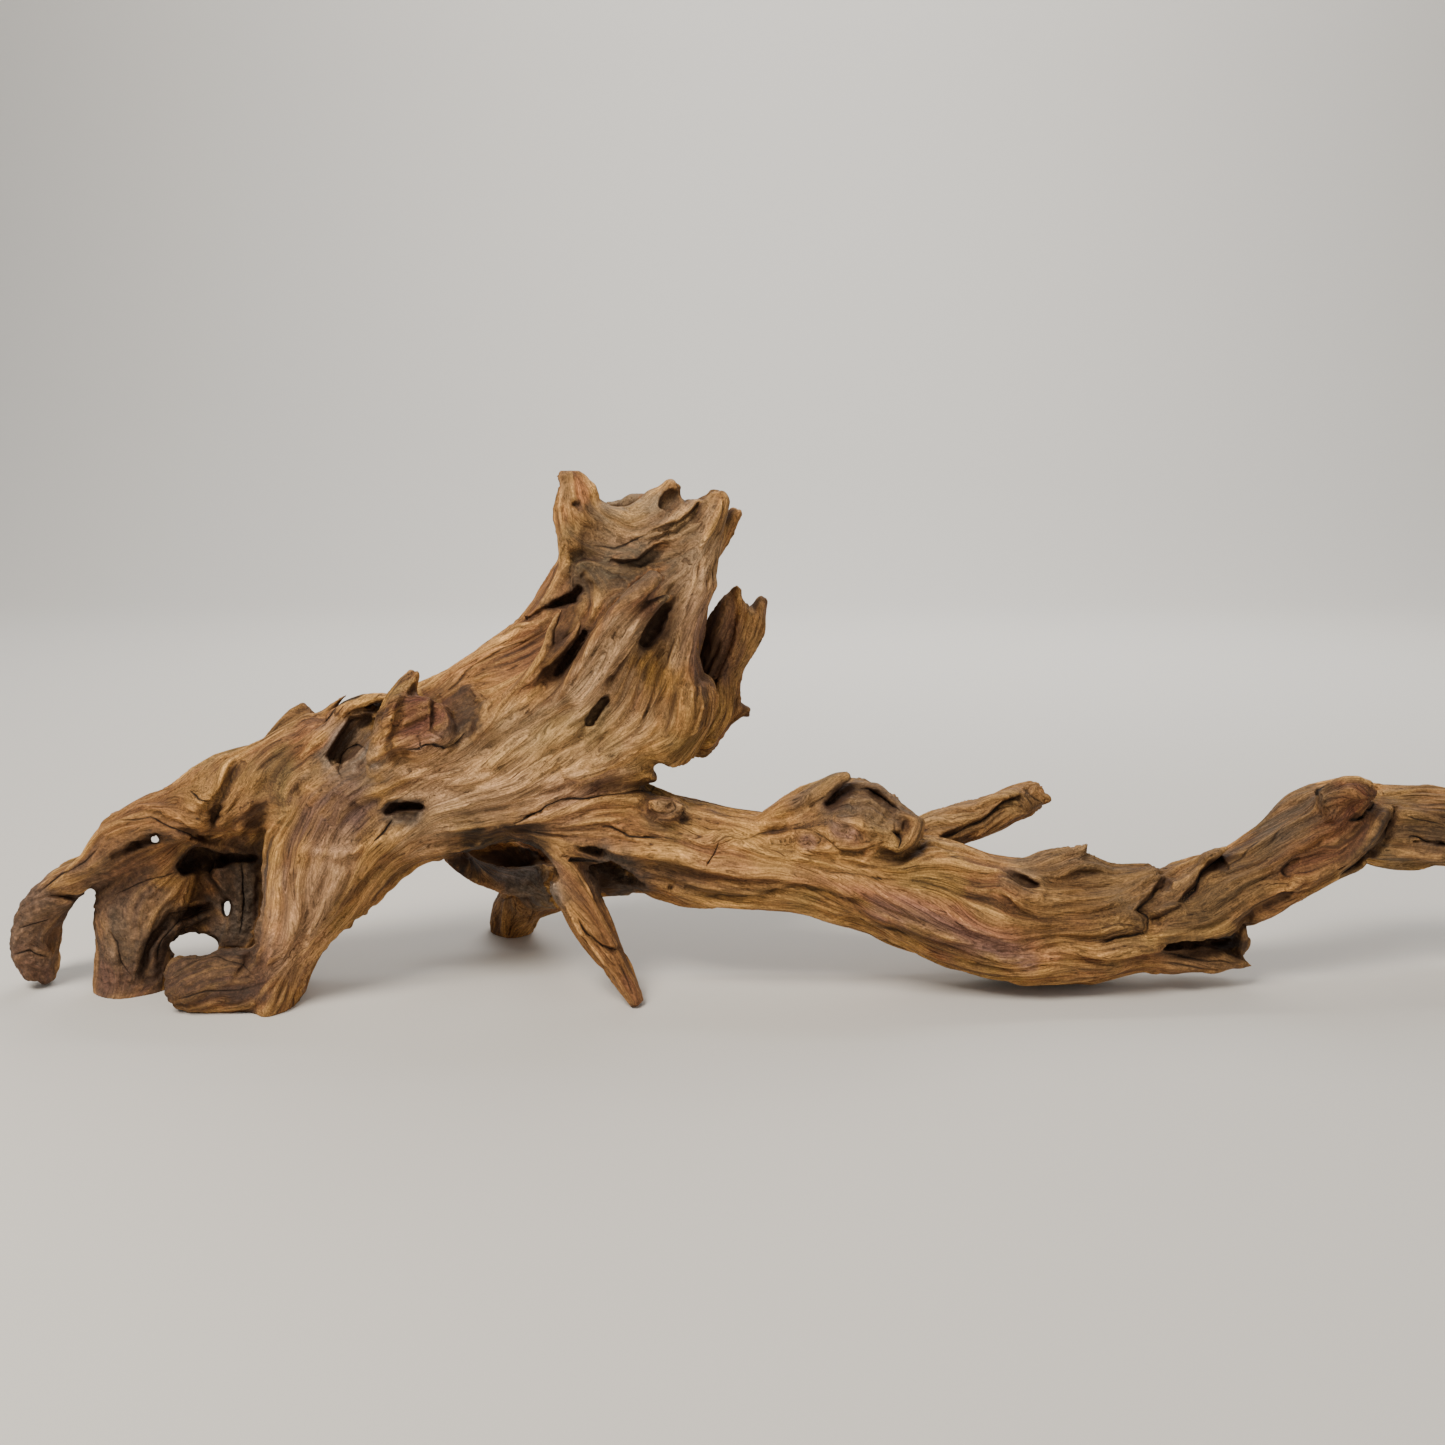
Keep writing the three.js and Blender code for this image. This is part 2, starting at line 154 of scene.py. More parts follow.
@dataclass(frozen=True)
class Mark:
    """A line on the photographed side, in pixels, with its width and height in mm."""

    name: str
    cut: Cut
    width: float
    height: float
    line: Line

    def rise(self, near: Nearness, scale: np.ndarray) -> np.ndarray:
        """How far the mark raises the wood.

        Args:
            near: Where the wood lies to the mark's line.
            scale: Pixels a mm there.

        Returns:
            The rise in mm.
        """
        distance, signed = near.distance / scale, near.signed / scale
        height = self.height * near.taper
        if self.cut is Cut.LEDGE:
            fade = 1 - smooth_step(0.3, 1.6, distance / self.width)
            return height * fade * (smooth_step(-1.1, 1.1, signed) * 1.4 - 0.8)
        if self.cut is Cut.CRACK:
            return -0.4 * height * (1 - smooth_step(0.0, 0.3 * self.width + 0.7, distance))
        swell = 0.75 * (1 - smooth_step(0.0, 1.0, distance / self.width))
        return height * swell if self.cut is Cut.RIDGE else -height * swell

    def shade(self, near: Nearness, scale: np.ndarray) -> np.ndarray:
        """How dark the mark is: painted shade beside a torn ledge's low side, in a crack and in a groove, and
        a painted highlight on a ridge's crest.

        Args:
            near: Where the wood lies to the mark's line.
            scale: Pixels a mm there.

        Returns:
            1 where it would be black, and below 0 where a ridge's crest is painted lighter.
        """
        distance, signed = near.distance / scale, near.signed / scale
        # Ledges, cracks and grooves lay painted shade; a ridge's negative strength paints a highlight on its
        # crest.
        strength, reach = {
            Cut.LEDGE: (0.45, 2.4), Cut.CRACK: (0.2, 0.4 * self.width + 1.0),
            Cut.GROOVE: (0.35, 0.9 * self.width), Cut.RIDGE: (-0.6, 0.6 * self.width)}[self.cut]
        shade = strength * near.taper * (1 - smooth_step(0.0, reach, distance))
        return shade * (signed < 0.5) if self.cut is Cut.LEDGE else shade

    def split(self, near: Nearness, scale: np.ndarray) -> tuple[np.ndarray, np.ndarray]:
        """How the thin dark line of painted shade lies: in a crack, and as a painted shadow just under a torn
        edge.

        Args:
            near: Where the wood lies to the mark's line.
            scale: Pixels a mm there.

        Returns:
            The distance to it in mm, signed, and its strength, which is gone 2.5 mm away.
        """
        torn = self.cut is Cut.LEDGE
        # A torn edge's painted shadow line lies 0.9 mm down on its low side.
        side = near.signed / scale + (0.9 if torn else 0.0)
        strength = near.taper * min(0.95, (0.14 if torn else 0.42) * self.height)
        return side, strength * np.clip(1.3 - np.abs(side) / 2.0, 0, 1) * (near.distance / scale < 4.0)


@dataclass(frozen=True)
class StainAndPaintedLight:
    """A patch of colour along a line on the side that the camera sees, fading over its width in mm; some
    patches are the wood's own colour, some painted shade and some painted light.
    """

    name: str
    colour: Colour
    strength: float
    width: float
    line: Line
    rot: float


def limb(name: str, blend: float, flutes: float, *stations: Station, **options: bool) -> Limb:
    """A limb through its stations."""
    return Limb(name, stations, blend, flutes, **options)


def hollow(name: str, blend: float, rot: float, *stations: Station, **options: bool) -> Hollow:
    """A hollow through its stations."""
    return Hollow(name, stations, blend, rot, **options)


def mark(cut: Cut, name: str, width: float, height: float, *line: Point) -> Mark:
    """A mark along the points of its line."""
    return Mark(name, cut, width, height, line)


def stain_and_painted_light(name: str, colour: Colour, strength: float, width: float, *line: Point, rot: float = 0.0) -> StainAndPaintedLight:
    """A patch along the points of its line; patches give the wood's own colours, painted shade and painted
    light.
    """
    return StainAndPaintedLight(name, colour, strength, width, line, rot)


drawn_limb, sprout = partial(limb, drawn=True), partial(limb, drawn=True, late=True)
bore, drawn_hollow = partial(hollow, through=True), partial(hollow, drawn=True)
drawn_bore = partial(hollow, through=True, drawn=True)
ridge, groove, crack, ledge, grain = (partial(mark, cut) for cut in Cut)


@dataclass(frozen=True)
class Block:
    """The block behind a fork's plane, as in the CAD part."""

    origin: tuple[float, float, float]
    axis: tuple[float, float, float]
    length: float
    wide: tuple[float, float]
    deep: tuple[float, float]

    def holds(self, points: np.ndarray) -> np.ndarray:
        """Whether each point lies in the block.

        Args:
            points: Places in mm, one a row.

        Returns:
            A mask, one value a row.
        """
        tangent = unit(np.array(self.axis))
        across, front = section_frame(tangent, False)
        away = points - np.array(self.origin)
        along, side, depth = away @ tangent, away @ across, away @ front
        inside = (along >= 0) & (along <= self.length)
        inside &= (side >= self.wide[0]) & (side <= self.wide[1])
        return inside & (depth >= self.deep[0]) & (depth <= self.deep[1])


def unit(vectors: np.ndarray) -> np.ndarray:
    """Vectors scaled to length one, along the last axis."""
    return vectors / np.maximum(np.linalg.norm(vectors, axis=-1, keepdims=True), 1e-9)


def smooth_step(low: float, high: float, value: np.ndarray) -> np.ndarray:
    """A smooth rise from 0 at low to 1 at high."""
    t = np.clip((value - low) / (high - low), 0.0, 1.0)
    return t * t * (3.0 - 2.0 * t)


def section_frame(tangent: np.ndarray, through: bool) -> tuple[np.ndarray, np.ndarray]:
    """The directions across a limb and from front to back.

    Args:
        tangent: The limb's direction, of length one.
        through: True for a form that runs from front to back.

    Returns:
        The direction across in the plane of the face, and the one through the depth.
    """
    side = np.array([1.0, 0.0, 0.0])
    across = unit(side - tangent * tangent[0] if through else np.cross([0.0, 1.0, 0.0], tangent))
    return across, unit(np.cross(tangent, across))


def spline(points: np.ndarray, steps: int) -> np.ndarray:
    """Points along a Catmull-Rom curve through the rows, evenly spaced in its parameter.

    Args:
        points: The rows that the curve passes through.
        steps: How many stretches the curve is cut into.

    Returns:
        steps + 1 rows.
    """
    padded = np.vstack([2 * points[0] - points[1], points, 2 * points[-1] - points[-2]])
    place = np.linspace(0, len(points) - 1, steps + 1)
    span = np.minimum(place.astype(int), len(points) - 2)
    t = (place - span)[:, None]
    a, b, c, d = (padded[span + i] for i in range(4))
    return 0.5 * (2 * b + (c - a) * t + (2 * a - 5 * b + 4 * c - d) * t**2 + (3 * b - a - 3 * c + d) * t**3)


def trilinear(table: np.ndarray, low: np.ndarray, high: np.ndarray, share: np.ndarray) -> np.ndarray:
    """Blends the eight values of a table that lie round each point.

    Args:
        table: The values.
        low: The index of the value below each point, one a row.
        high: The index of the value above it.
        share: How far the point lies from the one to the other, on each axis.

    Returns:
        One value a row.
    """
    strides = np.array([table.shape[1] * table.shape[2], table.shape[2], 1], np.int32)
    flat, low, high = table.ravel(), low * strides, high * strides
    total = np.zeros(len(share), np.float32)
    for corner in range(8):
        x, y, z = (
            (high[:, axis], share[:, axis]) if corner >> axis & 1 else (low[:, axis], 1 - share[:, axis])
            for axis in range(3))
        total += x[1] * y[1] * z[1] * flat[x[0] + y[0] + z[0]]
    return total


class Grid:
    """A box of voxels, and where its values lie."""

    def __init__(self, low: np.ndarray, high: np.ndarray, step: float) -> None:
        """Lays the grid out.

        Args:
            low: The lowest corner, in mm.
            high: The highest corner, in mm.
            step: The distance between two values, in mm.
        """
        self.low = low
        self.step = step
        self.shape = tuple(int(n) for n in np.ceil((high - low) / step) + 1)

    def window(self, low: np.ndarray, high: np.ndarray) -> Window:
        """Finds the values that lie between two corners.

        Args:
            low: The lower corner, in mm.
            high: The higher corner, in mm.

        Returns:
            Their slices.
        """
        first = np.maximum(np.floor((low - self.low) / self.step).astype(int), 0)
        last = np.minimum(np.ceil((high - self.low) / self.step).astype(int) + 1, self.shape)
        return tuple(slice(int(a), int(max(b, a))) for a, b in zip(first, last))

    def axes(self, window: Window) -> list[np.ndarray]:
        """The coordinates along each axis of a window, ready to broadcast."""
        lines = [self.low[i] + self.step * np.arange(s.start, s.stop) for i, s in enumerate(window)]
        return [line.reshape([-1 if i == j else 1 for j in range(3)]) for i, line in enumerate(lines)]

    def shell(self, values: np.ndarray, reach: float) -> tuple[tuple[np.ndarray, ...], np.ndarray]:
        """The indices of the values within reach of the surface, and their places in mm."""
        near = np.nonzero(np.abs(values) < reach)
        return near, self.low + self.step * np.stack(near, 1)

    def nearest(self, points: np.ndarray) -> tuple[np.ndarray, ...]:
        """The index of the value nearest to each point."""
        index = np.rint((points - self.low) / self.step).astype(np.int32)
        return tuple(np.clip(index[:, i], 0, self.shape[i] - 1) for i in range(3))

    def blend(self, values: np.ndarray, points: np.ndarray) -> np.ndarray:
        """Reads values between the grid's own.

        Args:
            values: The grid's values.
            points: Places in mm, one a row.

        Returns:
            The value at each point, blended from the eight round it.
        """
        place = np.clip((points - self.low) / self.step, 0, np.array(self.shape) - 1.001)
        base = place.astype(np.int32)
        return trilinear(values, base, base + 1, (place - base).astype(np.float32))

    def slopes(self, values: np.ndarray, points: np.ndarray) -> np.ndarray:
        """The direction in which values grow at points, not scaled to length one."""
        return np.stack([self.blend(np.gradient(values, axis=axis), points) for axis in range(3)], 1)


class Lattice:
    """Smooth noise from a repeating block of seeded random values."""

    SIDE = 64  # values along each side of the block, a power of two

    def __init__(self, seed: int) -> None:
        """Draws the block of values from a seed."""
        self.values = np.random.default_rng(seed).uniform(-1, 1, (self.SIDE,) * 3).astype(np.float32)

    def at(self, points: np.ndarray, cell: float, shift: float = 0.0) -> np.ndarray:
        """Reads the noise.

        Args:
            points: Places in mm, one a row.
            cell: The size of one cell of noise, in mm.
            shift: Moves the noise, in cells, so that one block serves for several.

        Returns:
            One value a row, between -1 and 1.
        """
        place = points / cell + shift
        base = np.floor(place)
        share = (place - base).astype(np.float32)
        low = base.astype(np.int32) & (self.SIDE - 1)
        return trilinear(self.values, low, (low + 1) & (self.SIDE - 1), share * share * (3 - 2 * share))


@dataclass(frozen=True)
class PhotoCamera:
    """The camera that took the photograph, found from the tape measure on the shelf."""

    side: float = 1445.0
    focal: float = 1445.0
    pitch_degrees: float = 10.4
    place: tuple[float, float, float] = (0.0, -760.0, 288.0)
    lens: float = 36.0
    sensor: float = 36.0

    def axes(self) -> tuple[np.ndarray, np.ndarray, np.ndarray]:
        """Finds how the camera is turned.

        Returns:
            Its right, down and forward directions.
        """
        pitch = math.radians(self.pitch_degrees)
        forward = np.array([0.0, math.cos(pitch), -math.sin(pitch)])
        right = np.array([1.0, 0.0, 0.0])
        return right, np.cross(forward, right), forward

    def project(self, points: np.ndarray) -> tuple[np.ndarray, np.ndarray, np.ndarray]:
        """Finds where points show in the picture.

        Args:
            points: Places in mm, one a row.

        Returns:
            Pixels from the left, pixels from the top, and depth in mm.
        """
        right, down, forward = self.axes()
        away = points - np.array(self.place)
        depth = away @ forward
        u, v = (self.side / 2 + self.focal * (away @ axis) / depth for axis in (right, down))
        return u, v, depth

    def place_at(self, u: float, v: float, y: float) -> tuple[float, float, float]:
        """Finds the place that shows at a pixel and lies at a given y.

        Args:
            u: Pixels from the left.
            v: Pixels from the top.
            y: The place's y in mm.

        Returns:
            The place in mm.
        """
        right, down, forward = self.axes()
        ray = forward + right * (u - self.side / 2) / self.focal + down * (v - self.side / 2) / self.focal
        place = np.array(self.place) + ray * (y - self.place[1]) / ray[1]
        return tuple(float(value) for value in place)

    def stations(self, form: Limb | Hollow) -> tuple[Station, ...]:
        """Finds a form's stations, also where they are drawn in the picture.

        Args:
            form: The limb or the hollow.

        Returns:
            The stations in mm.
        """
        if not form.drawn:
            return form.stations
        return tuple((*self.place_at(u, v, y), wide, deep) for u, v, y, wide, deep in form.stations)

    def build(self) -> None:
        """Makes Blender's camera and makes it the scene's."""
        data = bpy.data.cameras.new("photo_camera")
        data.lens = self.lens
        data.sensor_width = self.sensor
        data.clip_end = 30.0
        camera = linked("photo_camera", data)
        camera.location = Vector((np.array(self.place) - MIDDLE) * TO_METRES)
        camera.rotation_euler = (math.radians(90.0 - self.pitch_degrees), 0.0, 0.0)
        bpy.context.scene.camera = camera


def nearness(u: np.ndarray, v: np.ndarray, line: Line) -> Nearness:
    """Measures points of the picture against a line.

    Args:
        u: Pixels from the left.
        v: Pixels from the top.
        line: The line's points.

    Returns:
        Where the points lie.
    """
    distance = np.full(u.shape, 1e9, np.float32)
    signed, walked = np.zeros((2, *u.shape), np.float32)
    way = np.zeros((*u.shape, 2), np.float32)
    start = 0.0
    for (ax, ay), (bx, by) in zip(line, line[1:]):
        span = math.hypot(bx - ax, by - ay)
        dx, dy = (bx - ax) / span, (by - ay) / span
        along = np.clip((u - ax) * dx + (v - ay) * dy, 0, span)
        off = np.hypot(u - ax - along * dx, v - ay - along * dy)
        closer = off < distance
        distance[closer] = off[closer]
        signed[closer] = (dx * (v - ay) - dy * (u - ax))[closer]
        way[closer] = dx, dy
        walked[closer] = (start + along)[closer]
        start += span
    ends = min(0.2 * start, 14.0)
    taper = np.sqrt(np.clip(np.minimum(walked, start - walked) / ends, 0.0, 1.0))
    return Nearness(distance, signed, way, taper)


@dataclass
class Member:
    """One part of the wood: its limbs and hollows, and the marks, stained patches and patches of painted
    shade and light on it.
    """

    limbs: tuple[Limb, ...] = ()
    hollows: tuple[Hollow, ...] = ()
    marks: tuple[Mark, ...] = ()
    stains_and_painted_light: tuple[StainAndPaintedLight, ...] = ()


RED_HEART: Colour = (0.235, 0.085, 0.05)
PURPLE: Colour = (0.2, 0.105, 0.085)
PINK: Colour = (0.38, 0.155, 0.075)
OCHRE: Colour = (0.45, 0.25, 0.065)
ROT_GREY: Colour = (0.12, 0.098, 0.078)
ASH: Colour = (0.23, 0.19, 0.15)
MOSS_BROWN: Colour = (0.165, 0.125, 0.07)
# Dark brown for the wood's own dark marks, and for painted shade in slits, gaps, creases, holes and under
# ledges.
DARK_BROWN_AND_SHADE: Colour = (0.075, 0.038, 0.022)
TAN: Colour = (0.32, 0.18, 0.075)


@dataclass
class Body(Member):
    """The leaning body with its broken crown, and the shard behind it."""

    limbs: tuple[Limb, ...] = (
        limb("body", 12, 0.05, (-221, 8, 109, 33, 34), (-190, 10, 112, 43, 42), (-154, 12, 119, 47, 46),
            (-111, 14, 133, 50, 48), (-72, 16, 164, 48, 48), (-51, 18, 196, 43, 44), (-42, 18, 226, 39, 40),
            (-39, 18, 249, 38, 34)),
        limb("left_horn", 8, 0.04, (-75, 4, 214, 12, 16), (-78, 2, 243, 10, 14), (-77, 2, 260, 9, 11),
            (-76, 3, 268, 8, 8)),
        sprout("horn_crest", 4, 0.03, (562, 474, 3, 3.6, 7), (570, 477, 4, 5, 8), (580, 485, 4, 5.4, 8),
            (588, 489, 5, 3.4, 7)),
        limb("right_horn", 8, 0.04, (-22, 0, 219, 10, 16), (-15, 2, 241, 9, 15), (-8, 6, 257, 9, 12),
            (-2, 8, 266, 6, 9)),
        limb("right_horn_tip", 3, 0.03, (-12, 20, 234, 8, 10), (0, 24, 249, 5, 8), (7, 26, 258, 3, 5)),
        limb("middle_bump", 6, 0.04, (-43, 6, 245, 10, 14), (-32, 4, 261, 9, 12), (-26, 6, 273, 4.5, 8)),
        limb("back_rim", 6, 0.04, (-65, 34, 249, 8, 10), (-51, 40, 260, 7, 9), (-37, 38, 260, 7, 9)),
        limb("right_ridge", 8, 0.03, (-12, -6, 220, 6, 12), (-17, -10, 199, 7, 12), (-20, -12, 181, 8, 14),
            (-16, -6, 159, 12, 18), (-27, 4, 135, 12, 20)),
        limb("left_ridge", 10, 0.05, (-82, 10, 222, 11, 16), (-106, 8, 190, 12, 20), (-141, 6, 164, 13, 22),
            (-176, 6, 149, 13, 22), (-212, 8, 138, 13, 24)),
        sprout("finger", 4, 0.05, (655, 576, -42, 4.4, 6), (640, 591, -42, 5.2, 7.5),
            (620, 611, -39, 5.4, 9), (601, 638, -35, 5.8, 11), (585, 666, -31, 6.4, 12),
            (564, 696, -27, 6.6, 10), (534, 722, -23, 6, 7)),
        sprout("torn_finger", 3, 0.1, (669, 596, -40, 1.3, 3), (660, 601, -39, 2.6, 4),
            (647, 611, -38, 4, 5), (630, 631, -36, 5.4, 7), (612, 655, -32, 6.4, 8),
            (595, 678, -28, 6.4, 8), (574, 702, -24, 5, 6)),
        sprout("fork_fill", 4, 0.05, (618, 768, -8, 8, 14), (638, 769, -4, 7.4, 12), (650, 774, 0, 4, 8)),
        sprout("fork_burl", 2.5, 0.06, (650, 806, -14, 4, 5), (664, 808, -14, 6.4, 6),
            (678, 808, -12, 4, 5)),
        sprout("thorn_left", 2.5, 0.04, (562, 609, -26, 0.9, 1.6), (556, 619, -27, 1.7, 3.2),
            (551, 631, -28, 2.2, 4.5), (549, 644, -29, 2.8, 6), (544, 658, -28, 4, 7),
            (530, 678, -26, 4.2, 7), (512, 694, -23, 3, 5)),
        sprout("thorn_right", 2.5, 0.04, (580, 622, -30, 1.1, 2), (577, 631, -30, 2, 4),
            (569, 641, -30, 2.8, 5), (559, 650, -29, 3.2, 6), (549, 659, -28, 3.8, 7)),
        sprout("rim_lump_one", 3, 0.05, (611, 513, 30, 3.2, 5), (611, 505, 30, 3.6, 5)),
        sprout("rim_lump_two", 3, 0.08, (621, 506, 30, 3, 6), (632, 502, 30, 4.5, 7),
            (644, 502, 30, 4.5, 7), (654, 502, 28, 3.5, 6)),
        sprout("ear", 5, 0.05, (414, 674, -27, 3.4, 5), (404, 690, -32, 6.2, 8), (393, 712, -34, 8.2, 10),
            (388, 738, -33, 8.6, 11), (384, 764, -30, 8, 10), (382, 790, -26, 6, 7)),
        limb("snapped_stub", 4, 0.1, (-157, -10, 139, 15, 16), (-155, -26, 150, 15.5, 15),
            (-154, -42, 157, 15, 14)),
        sprout("flake_one", 3, 0.06, (270, 740, 14, 4, 4), (284, 729, 14, 6, 4), (297, 717, 14, 6.6, 4),
            (307, 709, 14, 5.6, 3.4)),
        sprout("flake_two", 2, 0.06, (322, 716, 8, 3, 4), (332, 708, 8, 2.6, 3), (341, 699, 8, 1.5, 2),
            (348, 694, 8, 0.7, 1)),
        sprout("flake_rim", 3, 0.08, (330, 716, -6, 2.6, 6), (352, 703, -8, 2.6, 6),
            (376, 698, -12, 2.6, 6), (394, 697, -16, 2, 5)),
        sprout("cave_floor", 4, 0.06, (452, 852, 22, 6, 12), (468, 866, 28, 4.8, 12),
            (486, 875, 36, 4.6, 12), (506, 880, 46, 7, 12), (536, 880, 50, 9, 12), (590, 872, 34, 9, 12)),
        drawn_limb("cave_back", 5, 0.06, (462, 852, 58, 7, 6), (486, 853, 66, 10, 8), (516, 852, 70, 12, 8),
            (552, 858, 66, 12, 8)),
        limb("belly_lump", 5, 0.06, (-86, 20, 68, 11, 15), (-64, 20, 62, 12, 14), (-36, 14, 66, 13, 16)),
        limb("back_fold", 9, 0.04, (-38, 50, 244, 10, 9), (-50, 57, 214, 12, 12), (-76, 58, 172, 13, 13),
            (-116, 56, 136, 14, 13), (-162, 50, 116, 12, 12), (-204, 38, 108, 10, 10)),
        limb("back_knot", 6, 0.08, (-132, 44, 150, 17, 15), (-128, 60, 156, 15, 14),
            (-126, 66, 158, 11, 10)),
        limb("shard", 4, 0.05, (-16, 26, 136, 14, 18), (-2, 40, 162, 15, 15), (7, 46, 187, 15, 12),
            (13, 48, 199, 11, 9)),
        limb("shard_left_tip", 3, 0.03, (0, 44, 187, 9, 9), (5, 46, 204, 6, 7), (8, 47, 215, 2, 4)),
        limb("shard_middle", 3, 0.03, (8, 49, 186, 9, 8), (14, 51, 199, 8, 7)),
        limb("shard_right_tip", 3, 0.03, (13, 50, 187, 9, 9), (19, 52, 200, 6, 8), (23, 54, 209, 3, 5)),
        limb("shard_nub", 3, 0.05, (-8, 32, 143, 11, 12), (8, 36, 149, 6, 8), (15, 37, 148, 3, 5)),
    )
    hollows: tuple[Hollow, ...] = (
        hollow("ear_hollow", 2.5, 0.5, (-192, -40, 130, 12, 16), (-190, -38, 146, 13, 18)),
        drawn_hollow("overhang_gap", 1, 0.3, (382, 724, -20, 3, 7), (367, 727, -19, 5.4, 9),
            (356, 733, -18, 6, 9), (347, 746, -18, 6, 9), (338, 761, -19, 4.6, 7)),
        hollow("stub_hollow", 2.5, 0.8, (-130, -42, 150, 7, 14), (-127, -42, 166, 8, 14)),
        hollow("stub_face", 1.5, 0, (-176, -60, 149, 26, 19), (-154, -61, 160, 27, 19),
            (-132, -60, 170, 26, 19)),
        drawn_hollow("dark_slot", 0.8, 1, (386, 813, -31, 1, 5), (395, 807, -31, 2.4, 10),
            (410, 806, -31, 2.6, 10), (421, 808, -31, 1.4, 7)),
        drawn_hollow("slot_flat", 1.5, 1, (394, 819, -36, 2.6, 7), (414, 819, -36, 2.8, 7)),
        hollow("crown_basin", 2.5, 0.3, (-54, 22, 282, 20, 17), (-50, 22, 262, 20, 15),
            (-48, 20, 242, 10, 9)),
        drawn_hollow("rim_dip", 3, 0.2, (604, 493, -6, 6, 22), (618, 497, -6, 8, 22),
            (633, 489, -6, 8, 22)),
        hollow("crown_recess", 2.5, 0.7, (-62, -38, 221, 12, 12), (-42, -38, 232, 15, 13),
            (-22, -36, 243, 9, 9)),
        drawn_hollow("torn_cave", 3, 1, (662, 612, -24, 3.5, 10), (655, 626, -22, 5.4, 12),
            (646, 642, -24, 3.5, 10)),
        drawn_hollow("thorn_gap", 2.5, 1, (560, 616, -22, 1.4, 6), (557, 632, -22, 1.8, 7),
            (556, 646, -24, 1.2, 6)),
        drawn_hollow("thorn_gap_right", 1.2, 1, (585, 632, -22, 1.2, 5), (576, 647, -22, 1.5, 6),
            (565, 662, -24, 1.3, 6), (556, 674, -25, 0.8, 4)),
        drawn_hollow("undercut", 1, 1, (546, 606, -14, 1.5, 7), (557, 603, -12, 2.4, 10),
            (568, 602, -11, 2.8, 11), (575, 595, -9, 2.6, 10), (580, 589, -8, 1.2, 7)),
        drawn_hollow("narrow_slot", 1, 0.3, (609, 696, -31, 1.2, 4), (601, 703, -30, 2, 6),
            (594, 713, -29, 2.2, 6), (590, 725, -29, 1.2, 4)),
        drawn_hollow("slot_slope", 2, 0.2, (607, 708, -34, 2.6, 4), (601, 720, -33, 2.6, 4)),
        drawn_hollow("small_eye", 1, 0.2, (517, 675, -29, 1.3, 4), (525, 665, -27, 1.4, 4)),
        drawn_hollow("bump_eye", 1.2, 0.3, (663, 507, -8, 2.4, 5), (669, 500, -5, 4.4, 5),
            (675, 494, -3, 3.2, 4)),
        drawn_hollow("shard_hollow", 2.5, 0.2, (712, 625, 30, 2.4, 4), (713, 655, 28, 3, 4)),
        drawn_hollow("ridge_right_side", 3, 0.1, (724, 596, -6, 5, 18), (714, 622, -6, 6.6, 20),
            (709, 646, -6, 7.4, 20), (712, 672, -6, 6, 18)),
        drawn_hollow("shard_side", 1.2, 0.2, (772, 632, 48, 2.4, 24), (758, 656, 48, 5, 24),
            (751, 672, 48, 6.6, 24), (747, 686, 48, 5, 24), (744, 694, 48, 2.4, 20)),
        hollow("belly_cave", 2.5, 1, (-132, -14, 70, 10, 24), (-112, -10, 74, 13, 26),
            (-94, 0, 70, 10, 22)),
        hollow("knot_hole", 2.5, 1, (-124, 80, 160, 7, 8), (-129, 56, 153, 6, 7)),
        hollow("back_rot", 2.5, 1, (-36, 62, 196, 8, 9), (-50, 66, 176, 11, 10), (-62, 68, 160, 7, 7)),
    )
